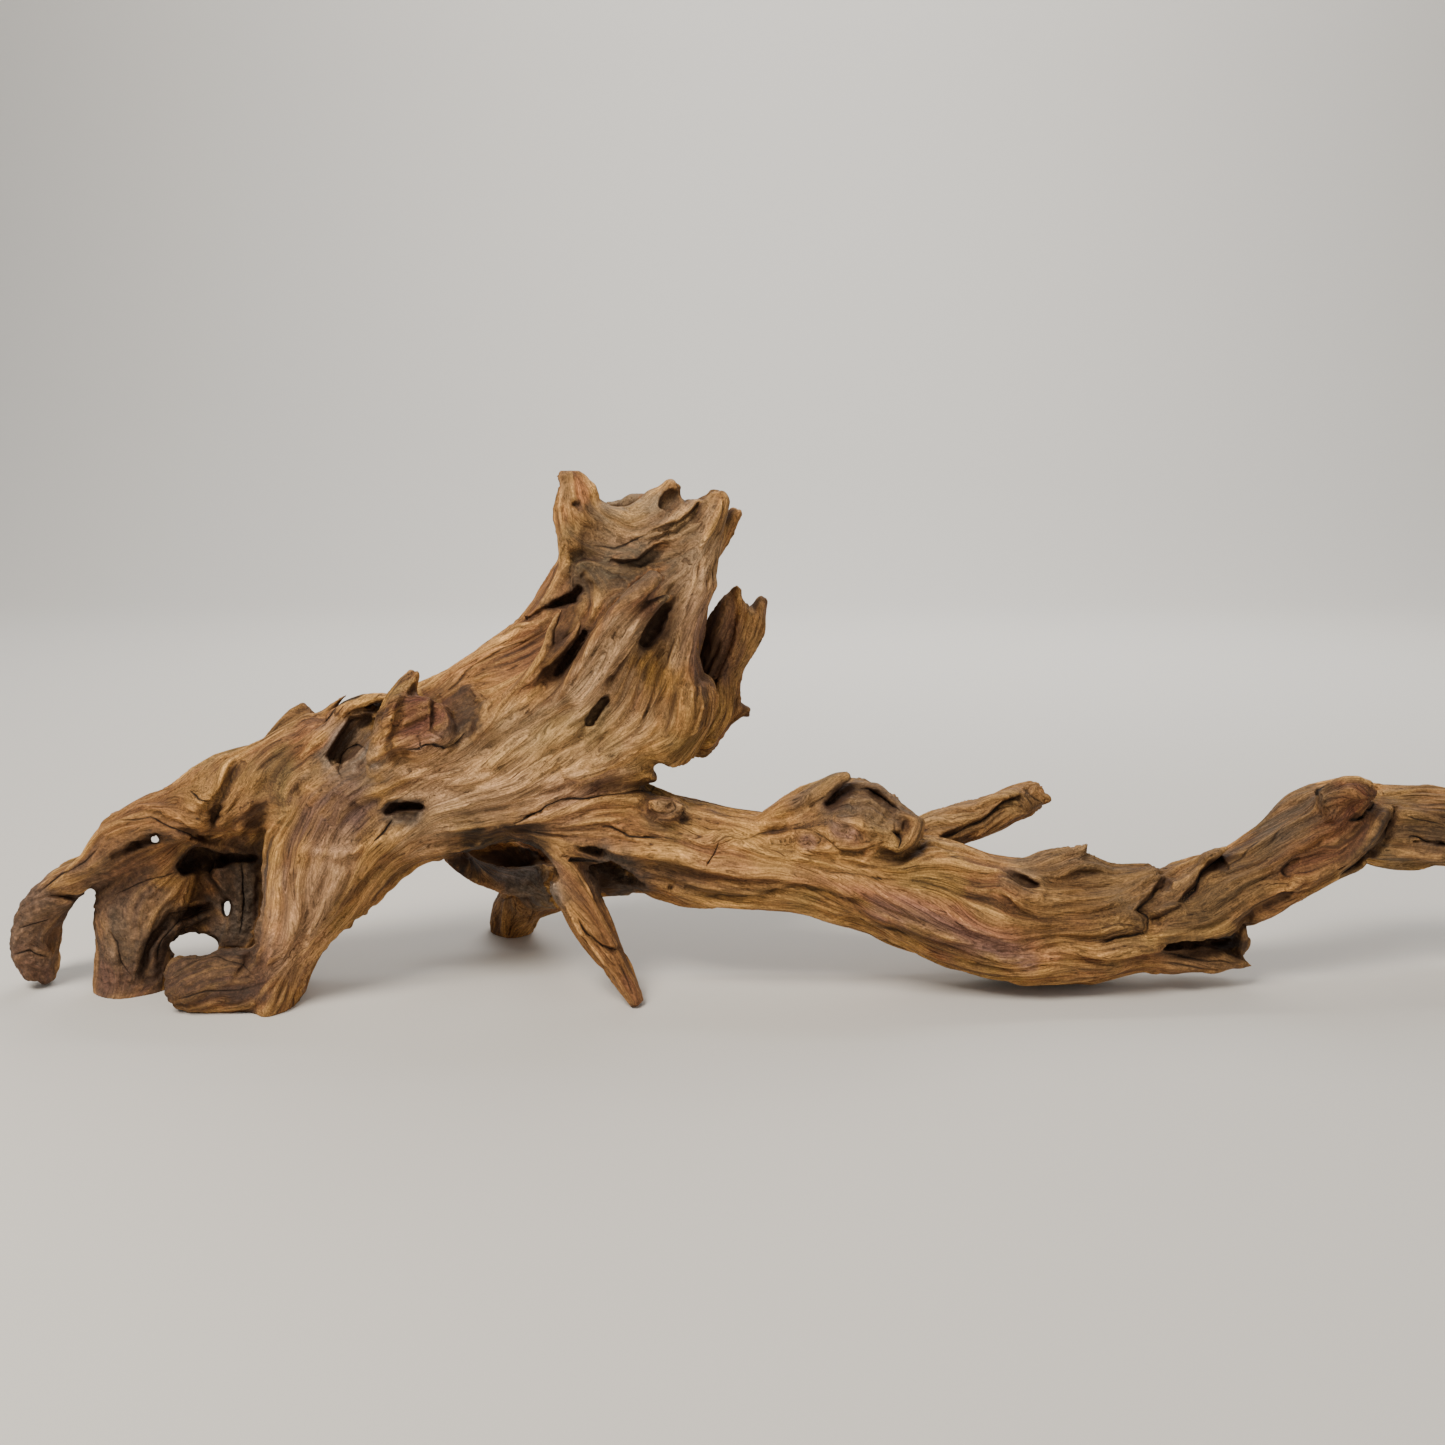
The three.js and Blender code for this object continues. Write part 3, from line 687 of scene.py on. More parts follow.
    marks: tuple[Mark, ...] = (
        crack("body crack", 1.6, 2.4, (654, 788), (638, 792), (561, 800), (547, 806), (540, 812),
            (511, 824)),
        crack("lens crack", 2, 2.8, (600, 829), (610, 828), (621, 831), (630, 836), (643, 838), (662, 838)),
        ridge("lens lip", 5.5, 1.4, (596, 822), (626, 826), (675, 838)),
        ledge("crown ledge", 5, 3.4, (670, 542), (657, 546), (647, 552), (638, 561), (623, 563),
            (607, 560)),
        ledge("recess edge", 5, 2.4, (572, 592), (571, 578), (573, 563), (585, 559), (602, 560)),
        ridge("recess lump", 5, 2, (586, 574), (598, 580), (606, 592)),
        ridge("recess lump two", 4, 1.8, (614, 572), (626, 578), (632, 588)),
        ledge("slot rim", 4, 2, (588, 728), (587, 716), (593, 706), (600, 698), (609, 695)),
        ledge("crown layer", 4, 2.4, (701, 499), (692, 510), (680, 520), (665, 526), (648, 529)),
        ledge("crown layer two", 4, 2, (700, 508), (690, 520), (676, 531), (648, 540)),
        ledge("recess left edge", 4, 1.8, (573, 560), (571, 575), (573, 592)),
        ledge("slot overhang", 5, 3, (609, 695), (599, 699), (591, 708), (586, 719), (588, 727)),
        ridge("crown upper fold", 7, 1.6, (600, 520), (628, 538), (655, 528), (700, 498)),
        groove("crown lower groove", 8, 2, (582, 575), (606, 590), (634, 578), (664, 556), (682, 548)),
        crack("crown fibres one", 1.8, 1.4, (590, 545), (612, 548), (634, 541), (655, 530)),
        groove("horn torn pit", 3, 3, (572, 502), (579, 505), (580, 511)),
        ridge("horn edge", 5, 1.2, (562, 470), (560, 500), (565, 575)),
        ridge("horn inner edge", 4, 1.2, (590, 482), (597, 505), (606, 525)),
        ridge("right horn fold", 6, 2.2, (722, 495), (712, 520), (694, 585), (674, 640), (668, 668)),
        groove("right horn groove", 6, 2.2, (700, 520), (680, 585), (668, 615)),
        groove("cave left groove", 5, 2, (642, 640), (612, 705)),
        groove("flank strand one", 2.4, 1.8, (652, 612), (601, 690)),
        groove("flank strand two", 2.4, 1.8, (606, 632), (574, 682), (552, 706)),
        groove("flank strand three", 2.6, 1.8, (666, 642), (651, 666), (620, 726)),
        groove("flank strand four", 2.6, 1.8, (678, 630), (653, 692), (640, 730)),
        groove("ridge strand one", 2.4, 1.8, (692, 636), (664, 738)),
        groove("ridge strand two", 2.4, 1.8, (702, 560), (694, 592), (684, 622), (678, 652)),
        groove("ridge strand three", 2.4, 1.6, (704, 652), (696, 712), (686, 742)),
        ledge("undercut ledge", 4, 1.6, (566, 599), (545, 606), (528, 617), (512, 620)),
        crack("shoulder lines one", 1.4, 1, (446, 690), (474, 664), (504, 648), (530, 640)),
        crack("shoulder lines two", 1.4, 0.9, (452, 668), (480, 648), (508, 634), (536, 624)),
        ridge("shoulder fold", 8, 2.2, (430, 688), (468, 662), (505, 640), (540, 622)),
        ridge("lower swell", 16, 4, (690, 690), (680, 720), (650, 748), (612, 762), (560, 770)),
        groove("swell groove", 7, 1.6, (664, 672), (652, 700), (628, 726), (600, 748), (560, 760)),
        groove("slot furrow up", 4, 1.2, (607, 690), (626, 648)),
        groove("slot furrow down", 4, 1.2, (588, 722), (574, 744), (552, 758)),
        ridge("slot left swell", 8, 2.6, (600, 670), (584, 700), (566, 728), (530, 750), (486, 768)),
        groove("mid furrow", 5, 1.4, (560, 690), (540, 716), (510, 738), (476, 752)),
        ridge("mid ridge", 6, 1.6, (548, 674), (524, 702), (470, 738)),
        ridge("low ridge one", 6, 1.4, (640, 770), (590, 778), (540, 782), (480, 784), (420, 774),
            (384, 766)),
        groove("low groove one", 4, 1.2, (620, 786), (570, 788), (520, 794), (470, 796), (430, 790)),
        ridge("low ridge two", 6.5, 1.4, (560, 812), (510, 826), (470, 830), (430, 826)),
        groove("low groove two", 4, 1.2, (585, 812), (540, 822), (500, 836), (426, 846)),
        ridge("arch lip", 4, 1.6, (466, 872), (472, 852), (484, 836), (500, 831), (518, 838), (530, 850)),
        ridge("fork knot rim", 4, 3, (651, 802), (660, 797), (674, 798), (682, 806), (676, 817), (662, 820),
            (652, 814)),
        groove("fork knot eye", 4, 2.6, (668, 803), (671, 808)),
        crack("fork knot ring", 1.4, 1, (650, 802), (654, 812), (666, 815), (676, 808), (672, 799),
            (662, 799)),
        crack("stub crack one", 2, 2.4, (404, 754), (416, 750), (422, 746), (444, 746), (453, 743),
            (468, 731)),
        ledge("stub break", 5, 2, (432, 694), (430, 706), (433, 720), (431, 732), (446, 740)),
        groove("belly scar", 3, 1.6, (686, 685), (689, 706)),
        crack("stub crack four", 1.6, 1.4, (418, 740), (419, 748)),
        ridge("knot hollow ring", 5, 2.2, (456, 688), (470, 686), (482, 700), (484, 722), (474, 740)),
        ridge("ear root", 5, 2.5, (398, 694), (386, 722), (378, 748), (372, 776)),
        groove("ear right groove", 3.5, 1.6, (416, 684), (404, 702), (388, 752)),
        crack("oval knot rim", 1.8, 2.5, (343, 780), (339, 771), (341, 754), (347, 748), (358, 745),
            (364, 748)),
        ridge("oval knot", 7, 2.5, (353, 758), (354, 776)),
        ledge("hollow overhang", 5, 2.4, (382, 714), (365, 715), (350, 720), (325, 756)),
        ridge("overhang ridge", 5, 1.6, (378, 700), (352, 706), (330, 722), (312, 744), (300, 770)),
        crack("top groove one", 1.8, 2, (342, 700), (332, 714), (322, 724)),
        crack("top groove two", 1.8, 2, (364, 694), (340, 706)),
        groove("eye two", 4, 3, (298, 798), (303, 788)),
        ridge("eye two ridge", 4, 2.4, (288, 812), (287, 794), (296, 780), (312, 772)),
        ridge("eye two ridge right", 4.5, 2, (310, 806), (316, 788), (328, 776)),
        ridge("slot brow", 4, 2, (380, 812), (384, 799), (402, 796), (424, 800)),
        crack("slot crack", 2, 2.5, (392, 820), (384, 832), (374, 842)),
        groove("purple hollow", 16, 3, (352, 800), (330, 826)),
        ridge("purple lower ridge", 6, 2.6, (296, 846), (318, 852), (344, 854), (368, 846), (384, 834)),
        grain("purple grain one", 10, 0, (362, 800), (340, 806), (322, 822), (312, 842)),
        grain("purple grain two", 8, 0, (370, 812), (350, 824), (334, 842)),
        ridge("shard edge", 4, 2.4, (738, 586), (742, 608), (738, 636), (728, 664)),
        ridge("shard right edge", 4, 2, (764, 598), (748, 644)),
        groove("shard notch", 5, 2, (736, 662), (730, 676), (732, 694)),
        grain("grain down the crown", 16, 0, (708, 520), (694, 590), (672, 650), (640, 712), (594, 758),
            (530, 782), (460, 790)),
        grain("grain left of finger", 14, 0, (600, 640), (570, 690), (520, 730), (460, 762), (400, 772)),
        grain("grain of the shoulder", 12, 0, (556, 560), (540, 610), (420, 700)),
        grain("grain into the leg", 12, 0, (400, 830), (372, 850), (348, 880), (330, 912)),
        grain("grain of the crown face", 12, 0, (600, 545), (640, 556), (676, 540), (700, 512)),
    )
    stains_and_painted_light: tuple[StainAndPaintedLight, ...] = (
        stain_and_painted_light("crown recess", (0.13, 0.095, 0.052), 0.88, 12, (588, 578), (618, 576), (640, 566), rot=0.6),
        stain_and_painted_light("right hollow", MOSS_BROWN, 0.6, 9, (682, 556), (676, 584), (664, 604), rot=0.2),
        stain_and_painted_light("finger light", (0.4, 0.22, 0.105), 0.55, 5, (657, 577), (636, 596), (610, 630), (590, 662)),
        # Painted highlight along the lit right ridge.
        stain_and_painted_light("ridge light", (0.52, 0.325, 0.165), 0.6, 9, (704, 550), (692, 600), (676, 650)),
        # Painted light: a pale pool over the middle of the body, where it is lit brighter.
        stain_and_painted_light("body light", (0.57, 0.355, 0.175), 0.65, 26, (600, 720), (540, 752), (480, 784), (430, 806)),
        stain_and_painted_light("body violet", PURPLE, 0.4, 8, (560, 792), (596, 788), (620, 784)),
        stain_and_painted_light("body olive", (0.2, 0.14, 0.06), 0.5, 8, (540, 730), (580, 726), (610, 744)),
        stain_and_painted_light("rim lumps", (0.26, 0.17, 0.09), 0.85, 7, (608, 506), (630, 500), (648, 500)),
        stain_and_painted_light("belly scar", DARK_BROWN_AND_SHADE, 0.75, 2.6, (686, 686), (689, 705)),
        stain_and_painted_light("crown face", (0.22, 0.155, 0.085), 0.55, 16, (605, 530), (650, 520), (690, 520)),
        # Rotted wood in the torn cave, made darker still with painted shade.
        stain_and_painted_light("torn cave", DARK_BROWN_AND_SHADE, 0.85, 7, (655, 614), (648, 640), rot=0.5),
        stain_and_painted_light("horn tear", (0.5, 0.2, 0.07), 0.6, 4, (578, 484), (584, 496)),
        # Painted shade in the horn's pit.
        stain_and_painted_light("horn pit", DARK_BROWN_AND_SHADE, 0.9, 2.6, (576, 504), (580, 511)),
        stain_and_painted_light("horn facet", (0.09, 0.055, 0.03), 0.7, 3.4, (565, 474), (566, 498)),
        stain_and_painted_light("finger pink", PINK, 0.45, 5, (648, 602), (636, 616)),
        # Painted light: pale on the finger's lit flank.
        stain_and_painted_light("finger flank", (0.62, 0.385, 0.2), 0.75, 9, (628, 632), (606, 664), (584, 694)),
        stain_and_painted_light("thorn heart", DARK_BROWN_AND_SHADE, 0.7, 4, (560, 634), (570, 650), (560, 664)),
        stain_and_painted_light("snapped face", (0.11, 0.036, 0.024), 0.97, 10, (416, 704), (420, 730), (440, 720)),
        stain_and_painted_light("snapped face pale rim", (0.3, 0.14, 0.08), 0.5, 3, (404, 742), (418, 740), (440, 736)),
        # Rotted wood in the stub's hollow, made darker still with painted shade.
        stain_and_painted_light("stub hollow", DARK_BROWN_AND_SHADE, 0.85, 8, (464, 700), (468, 722), rot=0.5),
        stain_and_painted_light("stub side", ASH, 0.3, 8, (450, 735), (470, 745)),
        # Painted shadow under the ear's overhang.
        stain_and_painted_light("ear gap", DARK_BROWN_AND_SHADE, 0.9, 4, (326, 756), (340, 738), (356, 722), (380, 714)),
        stain_and_painted_light("ear hollow", ASH, 0.6, 13, (350, 740), (356, 770)),
        stain_and_painted_light("ear hollow low", MOSS_BROWN, 0.4, 12, (330, 778), (350, 790)),
        stain_and_painted_light("purple patch", (0.12, 0.065, 0.048), 0.85, 16, (350, 806), (330, 828)),
        # Painted shade: near black in the dark slot.
        stain_and_painted_light("slot", (0.02, 0.012, 0.008), 0.95, 4, (390, 808), (418, 807)),
        stain_and_painted_light("slot grey", (0.16, 0.13, 0.1), 0.8, 4.4, (395, 819), (414, 819)),
        # Painted shade in the second eye hole, and a painted shadow under the narrow slot's overhanging edge.
        stain_and_painted_light("eye two", DARK_BROWN_AND_SHADE, 0.6, 4, (301, 792), (300, 798)),
        stain_and_painted_light("narrow slot", DARK_BROWN_AND_SHADE, 0.8, 1.8, (606, 697), (597, 706), (591, 718)),
        stain_and_painted_light("slot olive", (0.17, 0.13, 0.07), 0.8, 4, (606, 708), (599, 724)),
        stain_and_painted_light("body ochre one", OCHRE, 0.35, 14, (600, 730), (540, 760), (480, 776)),
        stain_and_painted_light("body ochre two", OCHRE, 0.3, 12, (690, 700), (672, 740), (640, 764)),
        stain_and_painted_light("body pink", (0.52, 0.29, 0.15), 0.45, 16, (440, 770), (500, 800), (560, 806)),
        # Purplish colour on the shard's inner face, made darker as painted shade there.
        stain_and_painted_light("shard inside", PURPLE, 0.5, 14, (712, 620), (716, 660), rot=0.2),
        stain_and_painted_light("shard shade", DARK_BROWN_AND_SHADE, 0.4, 7, (702, 640), (706, 680)),
        stain_and_painted_light("fork knot", (0.16, 0.1, 0.055), 0.7, 7, (660, 806), (676, 810)),
        stain_and_painted_light("fork knot shade", DARK_BROWN_AND_SHADE, 0.8, 3, (650, 812), (656, 820), (668, 822), (680, 818)),
        # Painted shade: near black inside the arch, over a little rot.
        stain_and_painted_light("arch inside", (0.02, 0.012, 0.008), 1, 16, (482, 852), (508, 848), (524, 858), rot=0.3),
        stain_and_painted_light("under grey", ROT_GREY, 0.8, 12, (606, 866), (628, 884), rot=1),
        # Painted shade: near black on the back wall of the cave.
        stain_and_painted_light("cave back", (0.008, 0.005, 0.004), 1, 14, (474, 856), (500, 848), (526, 856)),
        stain_and_painted_light("under ash", ASH, 0.75, 12, (520, 884), (548, 892), rot=0.7),
    )


@dataclass
class HollowFoot(Member):
    """The arm with its hook, the rotted plate and back wall, and the leg with its toe."""

    limbs: tuple[Limb, ...] = (
        limb("arm", 9, 0.06, (-217, 6, 132, 22, 26), (-244, 2, 119, 20, 26), (-267, -4, 111, 19, 26),
            (-288, -8, 102, 14, 22), (-309, -10, 95, 12, 19), (-331, -10, 82, 12, 18),
            (-354, -6, 65, 11, 16), (-371, -2, 46, 12, 16), (-378, 0, 25, 12, 15), (-378, 2, 9, 7, 12)),
        limb("root_plate", 7, 0.05, (-298, 0, 92, 18, 17), (-312, 4, 68, 23, 18), (-321, 4, 44, 23, 19),
            (-325, 2, 20, 20, 20), (-327, 0, -10, 21, 21)),
        limb("back_wall", 5, 0.04, (-264, 6, 108, 26, 14), (-266, 16, 78, 38, 13), (-268, 21, 44, 36, 12),
            (-272, 20, 14, 31, 13), (-272, 16, -8, 29, 16)),
        limb("window_arch", 3, 0.04, (-318, 8, 2, 7, 12), (-313, 12, 20, 7, 11), (-302, 16, 34, 7, 11),
            (-288, 20, 38, 7, 11), (-276, 26, 30, 7, 9)),
        limb("leg", 11, 0.06, (-201, 0, 95, 44, 34), (-214, -4, 69, 34, 34), (-227, -8, 44, 23, 32),
            (-236, -14, 23, 16, 30), (-241, -22, -4, 12, 26)),
        limb("toe", 7, 0.05, (-236, -20, 9, 15, 22), (-256, -24, 11, 16.4, 22), (-276, -26, 12, 17.2, 22),
            (-288, -28, 12, 14, 18)),
        sprout("hook_tip", 3, 0.1, (45, 956, 4, 6, 10), (46, 970, 4, 5, 9), (48, 979, 4, 3.4, 7)),
    )
    hollows: tuple[Hollow, ...] = (
        drawn_bore("foot_window", 1.5, 1, (194, 944, -60, 13, 7), (194, 945, 0, 13, 7),
            (195, 947, 60, 14, 8)),
        drawn_bore("arm_slit", 1, 1, (155, 838, -60, 2.8, 2.8), (155, 838, -12, 2.6, 2.8),
            (156, 838, 6, 5, 5), (157, 838, 60, 7, 7)),
        drawn_hollow("arm_notch", 4, 0, (90, 806, -10, 8, 30), (88, 823, -10, 9, 30),
            (71, 845, -10, 10, 30), (47, 856, -10, 10, 30), (25, 867, -10, 10, 30)),
        hollow("foot_cave", 2.5, 1, (-272, -34, 78, 12, 14), (-264, -22, 60, 16, 24),
            (-267, -20, 38, 17, 22)),
        drawn_hollow("cave_top", 1.5, 1, (181, 866, -3, 5, 13), (198, 858, 2, 8, 17), (214, 858, 6, 7, 15),
            (232, 857, 5, 2.8, 8), (253, 858, 3, 2.4, 7)),
        hollow("under_arm_gap", 1, 1, (-316, -40, 83, 3, 14), (-300, -36, 90, 3, 14),
            (-284, -36, 90, 3, 12)),
        hollow("eye_one", 1, 1, (-246, -44, 99, 3, 14), (-240, -42, 103, 3, 14), (-234, -42, 109, 3, 12)),
        drawn_bore("wall_slit", 0.8, 1, (226, 906, -30, 2, 4.6), (227, 908, 10, 2, 4.6),
            (228, 910, 70, 2.4, 5)),
    )
    marks: tuple[Mark, ...] = (
        groove("twist groove", 5, 3.6, (244, 762), (227, 792), (212, 832)),
        ridge("twist ridge", 9, 4, (232, 758), (199, 806), (180, 814)),
        ridge("twist fold", 7, 2.6, (262, 762), (246, 802), (236, 842)),
        ledge("twist step", 5, 2.6, (210, 836), (227, 792), (244, 762)),
        ridge("arm fold one", 5, 1.8, (110, 808), (132, 802), (160, 808), (206, 828)),
        groove("arm fold groove", 3.5, 1.6, (132, 812), (158, 815), (204, 836)),
        ridge("arm fold two", 4, 1.4, (104, 838), (126, 828), (152, 824), (202, 842)),
        groove("arm top groove", 4, 1.4, (140, 800), (166, 800), (190, 812), (210, 818), (222, 806)),
        crack("arm lines one", 1.6, 1.6, (120, 820), (150, 818), (176, 828), (200, 840)),
        crack("arm lines two", 1.6, 1.6, (186, 790), (200, 800), (214, 804)),
        ridge("shoulder top ridge", 7, 2.4, (290, 732), (268, 748), (254, 768), (246, 792)),
        ridge("cave brow", 4, 2.8, (158, 836), (182, 839), (252, 855)),
        ridge("eye one brow", 4, 2, (240, 818), (250, 804), (268, 798), (276, 806)),
        ridge("eye one chin", 5, 1.8, (248, 834), (262, 826), (278, 820)),
        groove("plate top", 3.5, 2.6, (109, 858), (123, 852), (142, 838), (151, 836)),
        ridge("plate ridge one", 5, 1.4, (100, 878), (124, 868), (150, 862), (172, 860)),
        crack("plate groove one", 2.4, 1.4, (112, 896), (136, 884), (178, 872)),
        crack("plate groove two", 2.4, 1.4, (108, 930), (118, 942), (122, 962), (132, 976)),
        ridge("plate lump", 6, 1.8, (110, 946), (116, 966)),
        groove("arch groove", 3.5, 2.2, (157, 984), (139, 976), (145, 950), (155, 929), (168, 915),
            (210, 904)),
        ridge("arch ridge", 4, 1.8, (150, 978), (152, 954), (164, 934), (184, 922), (206, 916)),
        ledge("arch rim", 5, 2.4, (212, 902), (170, 914), (154, 930), (145, 950), (139, 976)),
        crack("arch layer one", 1.8, 1.8, (214, 908), (194, 914), (174, 924), (162, 940), (156, 962)),
        crack("arch layer two", 1.8, 1.6, (212, 918), (180, 930), (168, 944)),
        crack("arch joint one", 1.6, 1.2, (180, 916), (186, 934)),
        crack("arch joint two", 1.6, 1.2, (196, 908), (200, 930)),
        ledge("cave tongue", 5, 2.6, (228, 902), (216, 888), (210, 876), (217, 856)),
        groove("wall right gap", 3.5, 4, (260, 864), (261, 900), (256, 950)),
        crack("wall furrow", 2.2, 2.5, (242, 862), (244, 900), (240, 936)),
        groove("leg furrow one", 4, 1.4, (300, 862), (288, 900), (272, 980)),
        ridge("leg ridge one", 5, 1.6, (286, 868), (276, 900), (270, 940), (262, 976)),
        groove("leg furrow two", 4, 1.3, (332, 872), (314, 904), (302, 940), (292, 978)),
        ridge("leg ridge two", 6, 1.6, (350, 868), (328, 900), (310, 936), (300, 966)),
        groove("leg furrow three", 4, 1.2, (384, 866), (356, 890), (336, 914)),
        groove("toe cleft", 3, 2.6, (250, 952), (246, 966), (232, 980)),
        crack("toe line one", 1.8, 1.4, (178, 972), (196, 962), (222, 960), (244, 966), (256, 980)),
        crack("toe line two", 1.8, 1.4, (176, 1000), (206, 990), (240, 990), (268, 980)),
        ridge("toe ridge", 5, 1.4, (178, 984), (208, 974), (236, 978)),
        groove("hook groove", 3.5, 2.8, (56, 928), (50, 970)),
        crack("hook crack one", 2.2, 1.8, (20, 928), (34, 922), (50, 918)),
        crack("hook crack two", 2.2, 1.8, (14, 954), (30, 950), (46, 958)),
        ledge("hook brow", 5, 1.8, (28, 902), (46, 896), (66, 898), (80, 902)),
        crack("arm slope lines", 1.8, 1.8, (40, 890), (62, 874), (84, 862), (100, 846)),
        grain("grain down the leg", 12, 0, (330, 850), (304, 890), (290, 930), (280, 980)),
        grain("grain of the toe", 9, 0, (170, 990), (210, 976), (250, 974), (274, 950), (280, 910)),
    )
    stains_and_painted_light: tuple[StainAndPaintedLight, ...] = (
        stain_and_painted_light("hook", (0.23, 0.135, 0.088), 0.9, 18, (40, 904), (24, 926), (20, 950), (36, 976), rot=0.75),
        stain_and_painted_light("hook tip red", RED_HEART, 0.4, 8, (24, 964), (44, 978)),
        stain_and_painted_light("plate", (0.24, 0.135, 0.08), 0.9, 24, (112, 890), (130, 925), (126, 970), rot=0.8),
        stain_and_painted_light("plate rust", (0.24, 0.1, 0.04), 0.6, 9, (120, 872), (150, 866), (172, 862)),
        stain_and_painted_light("plate foot", (0.2, 0.075, 0.05), 0.6, 10, (112, 980), (150, 984)),
        stain_and_painted_light("plate moss", MOSS_BROWN, 0.45, 9, (118, 926), (124, 950)),
        stain_and_painted_light("arch", (0.1, 0.062, 0.04), 0.85, 9, (150, 970), (156, 940), (180, 922), (210, 912), rot=0.8),
        stain_and_painted_light("wall", (0.28, 0.215, 0.16), 0.9, 14, (240, 872), (244, 910), (236, 946), rot=1),
        stain_and_painted_light("wall rust", (0.2, 0.1, 0.045), 0.7, 4, (229, 872), (231, 896)),
        # Painted shade: near black in the cave under the arm.
        stain_and_painted_light("cave", (0.01, 0.006, 0.004), 0.98, 8, (184, 862), (200, 857), (216, 857), (236, 857),
            (252, 858)),
        # Painted shade in the arm's crease.
        stain_and_painted_light("arm crease", DARK_BROWN_AND_SHADE, 0.8, 4, (106, 856), (130, 846), (150, 840)),
        stain_and_painted_light("toe", (0.085, 0.04, 0.024), 0.95, 19, (176, 984), (210, 972), (246, 972), rot=0.55),
        stain_and_painted_light("arm brown", (0.2, 0.088, 0.031), 0.75, 18, (110, 828), (140, 812), (180, 804), (214, 800),
            (216, 826)),
        stain_and_painted_light("leg red", RED_HEART, 0.25, 9, (284, 880), (274, 930), (276, 980)),
        stain_and_painted_light("leg ochre", (0.46, 0.26, 0.13), 0.65, 14, (332, 862), (310, 905), (292, 960)),
        stain_and_painted_light("shoulder ochre", OCHRE, 0.35, 14, (230, 774), (208, 800)),
        # Painted shade in the first eye hole, and under the arm's fold.
        stain_and_painted_light("eye one", DARK_BROWN_AND_SHADE, 0.9, 4, (247, 822), (262, 810)),
        stain_and_painted_light("under arm fold", DARK_BROWN_AND_SHADE, 0.3, 6, (180, 836), (206, 842)),
    )


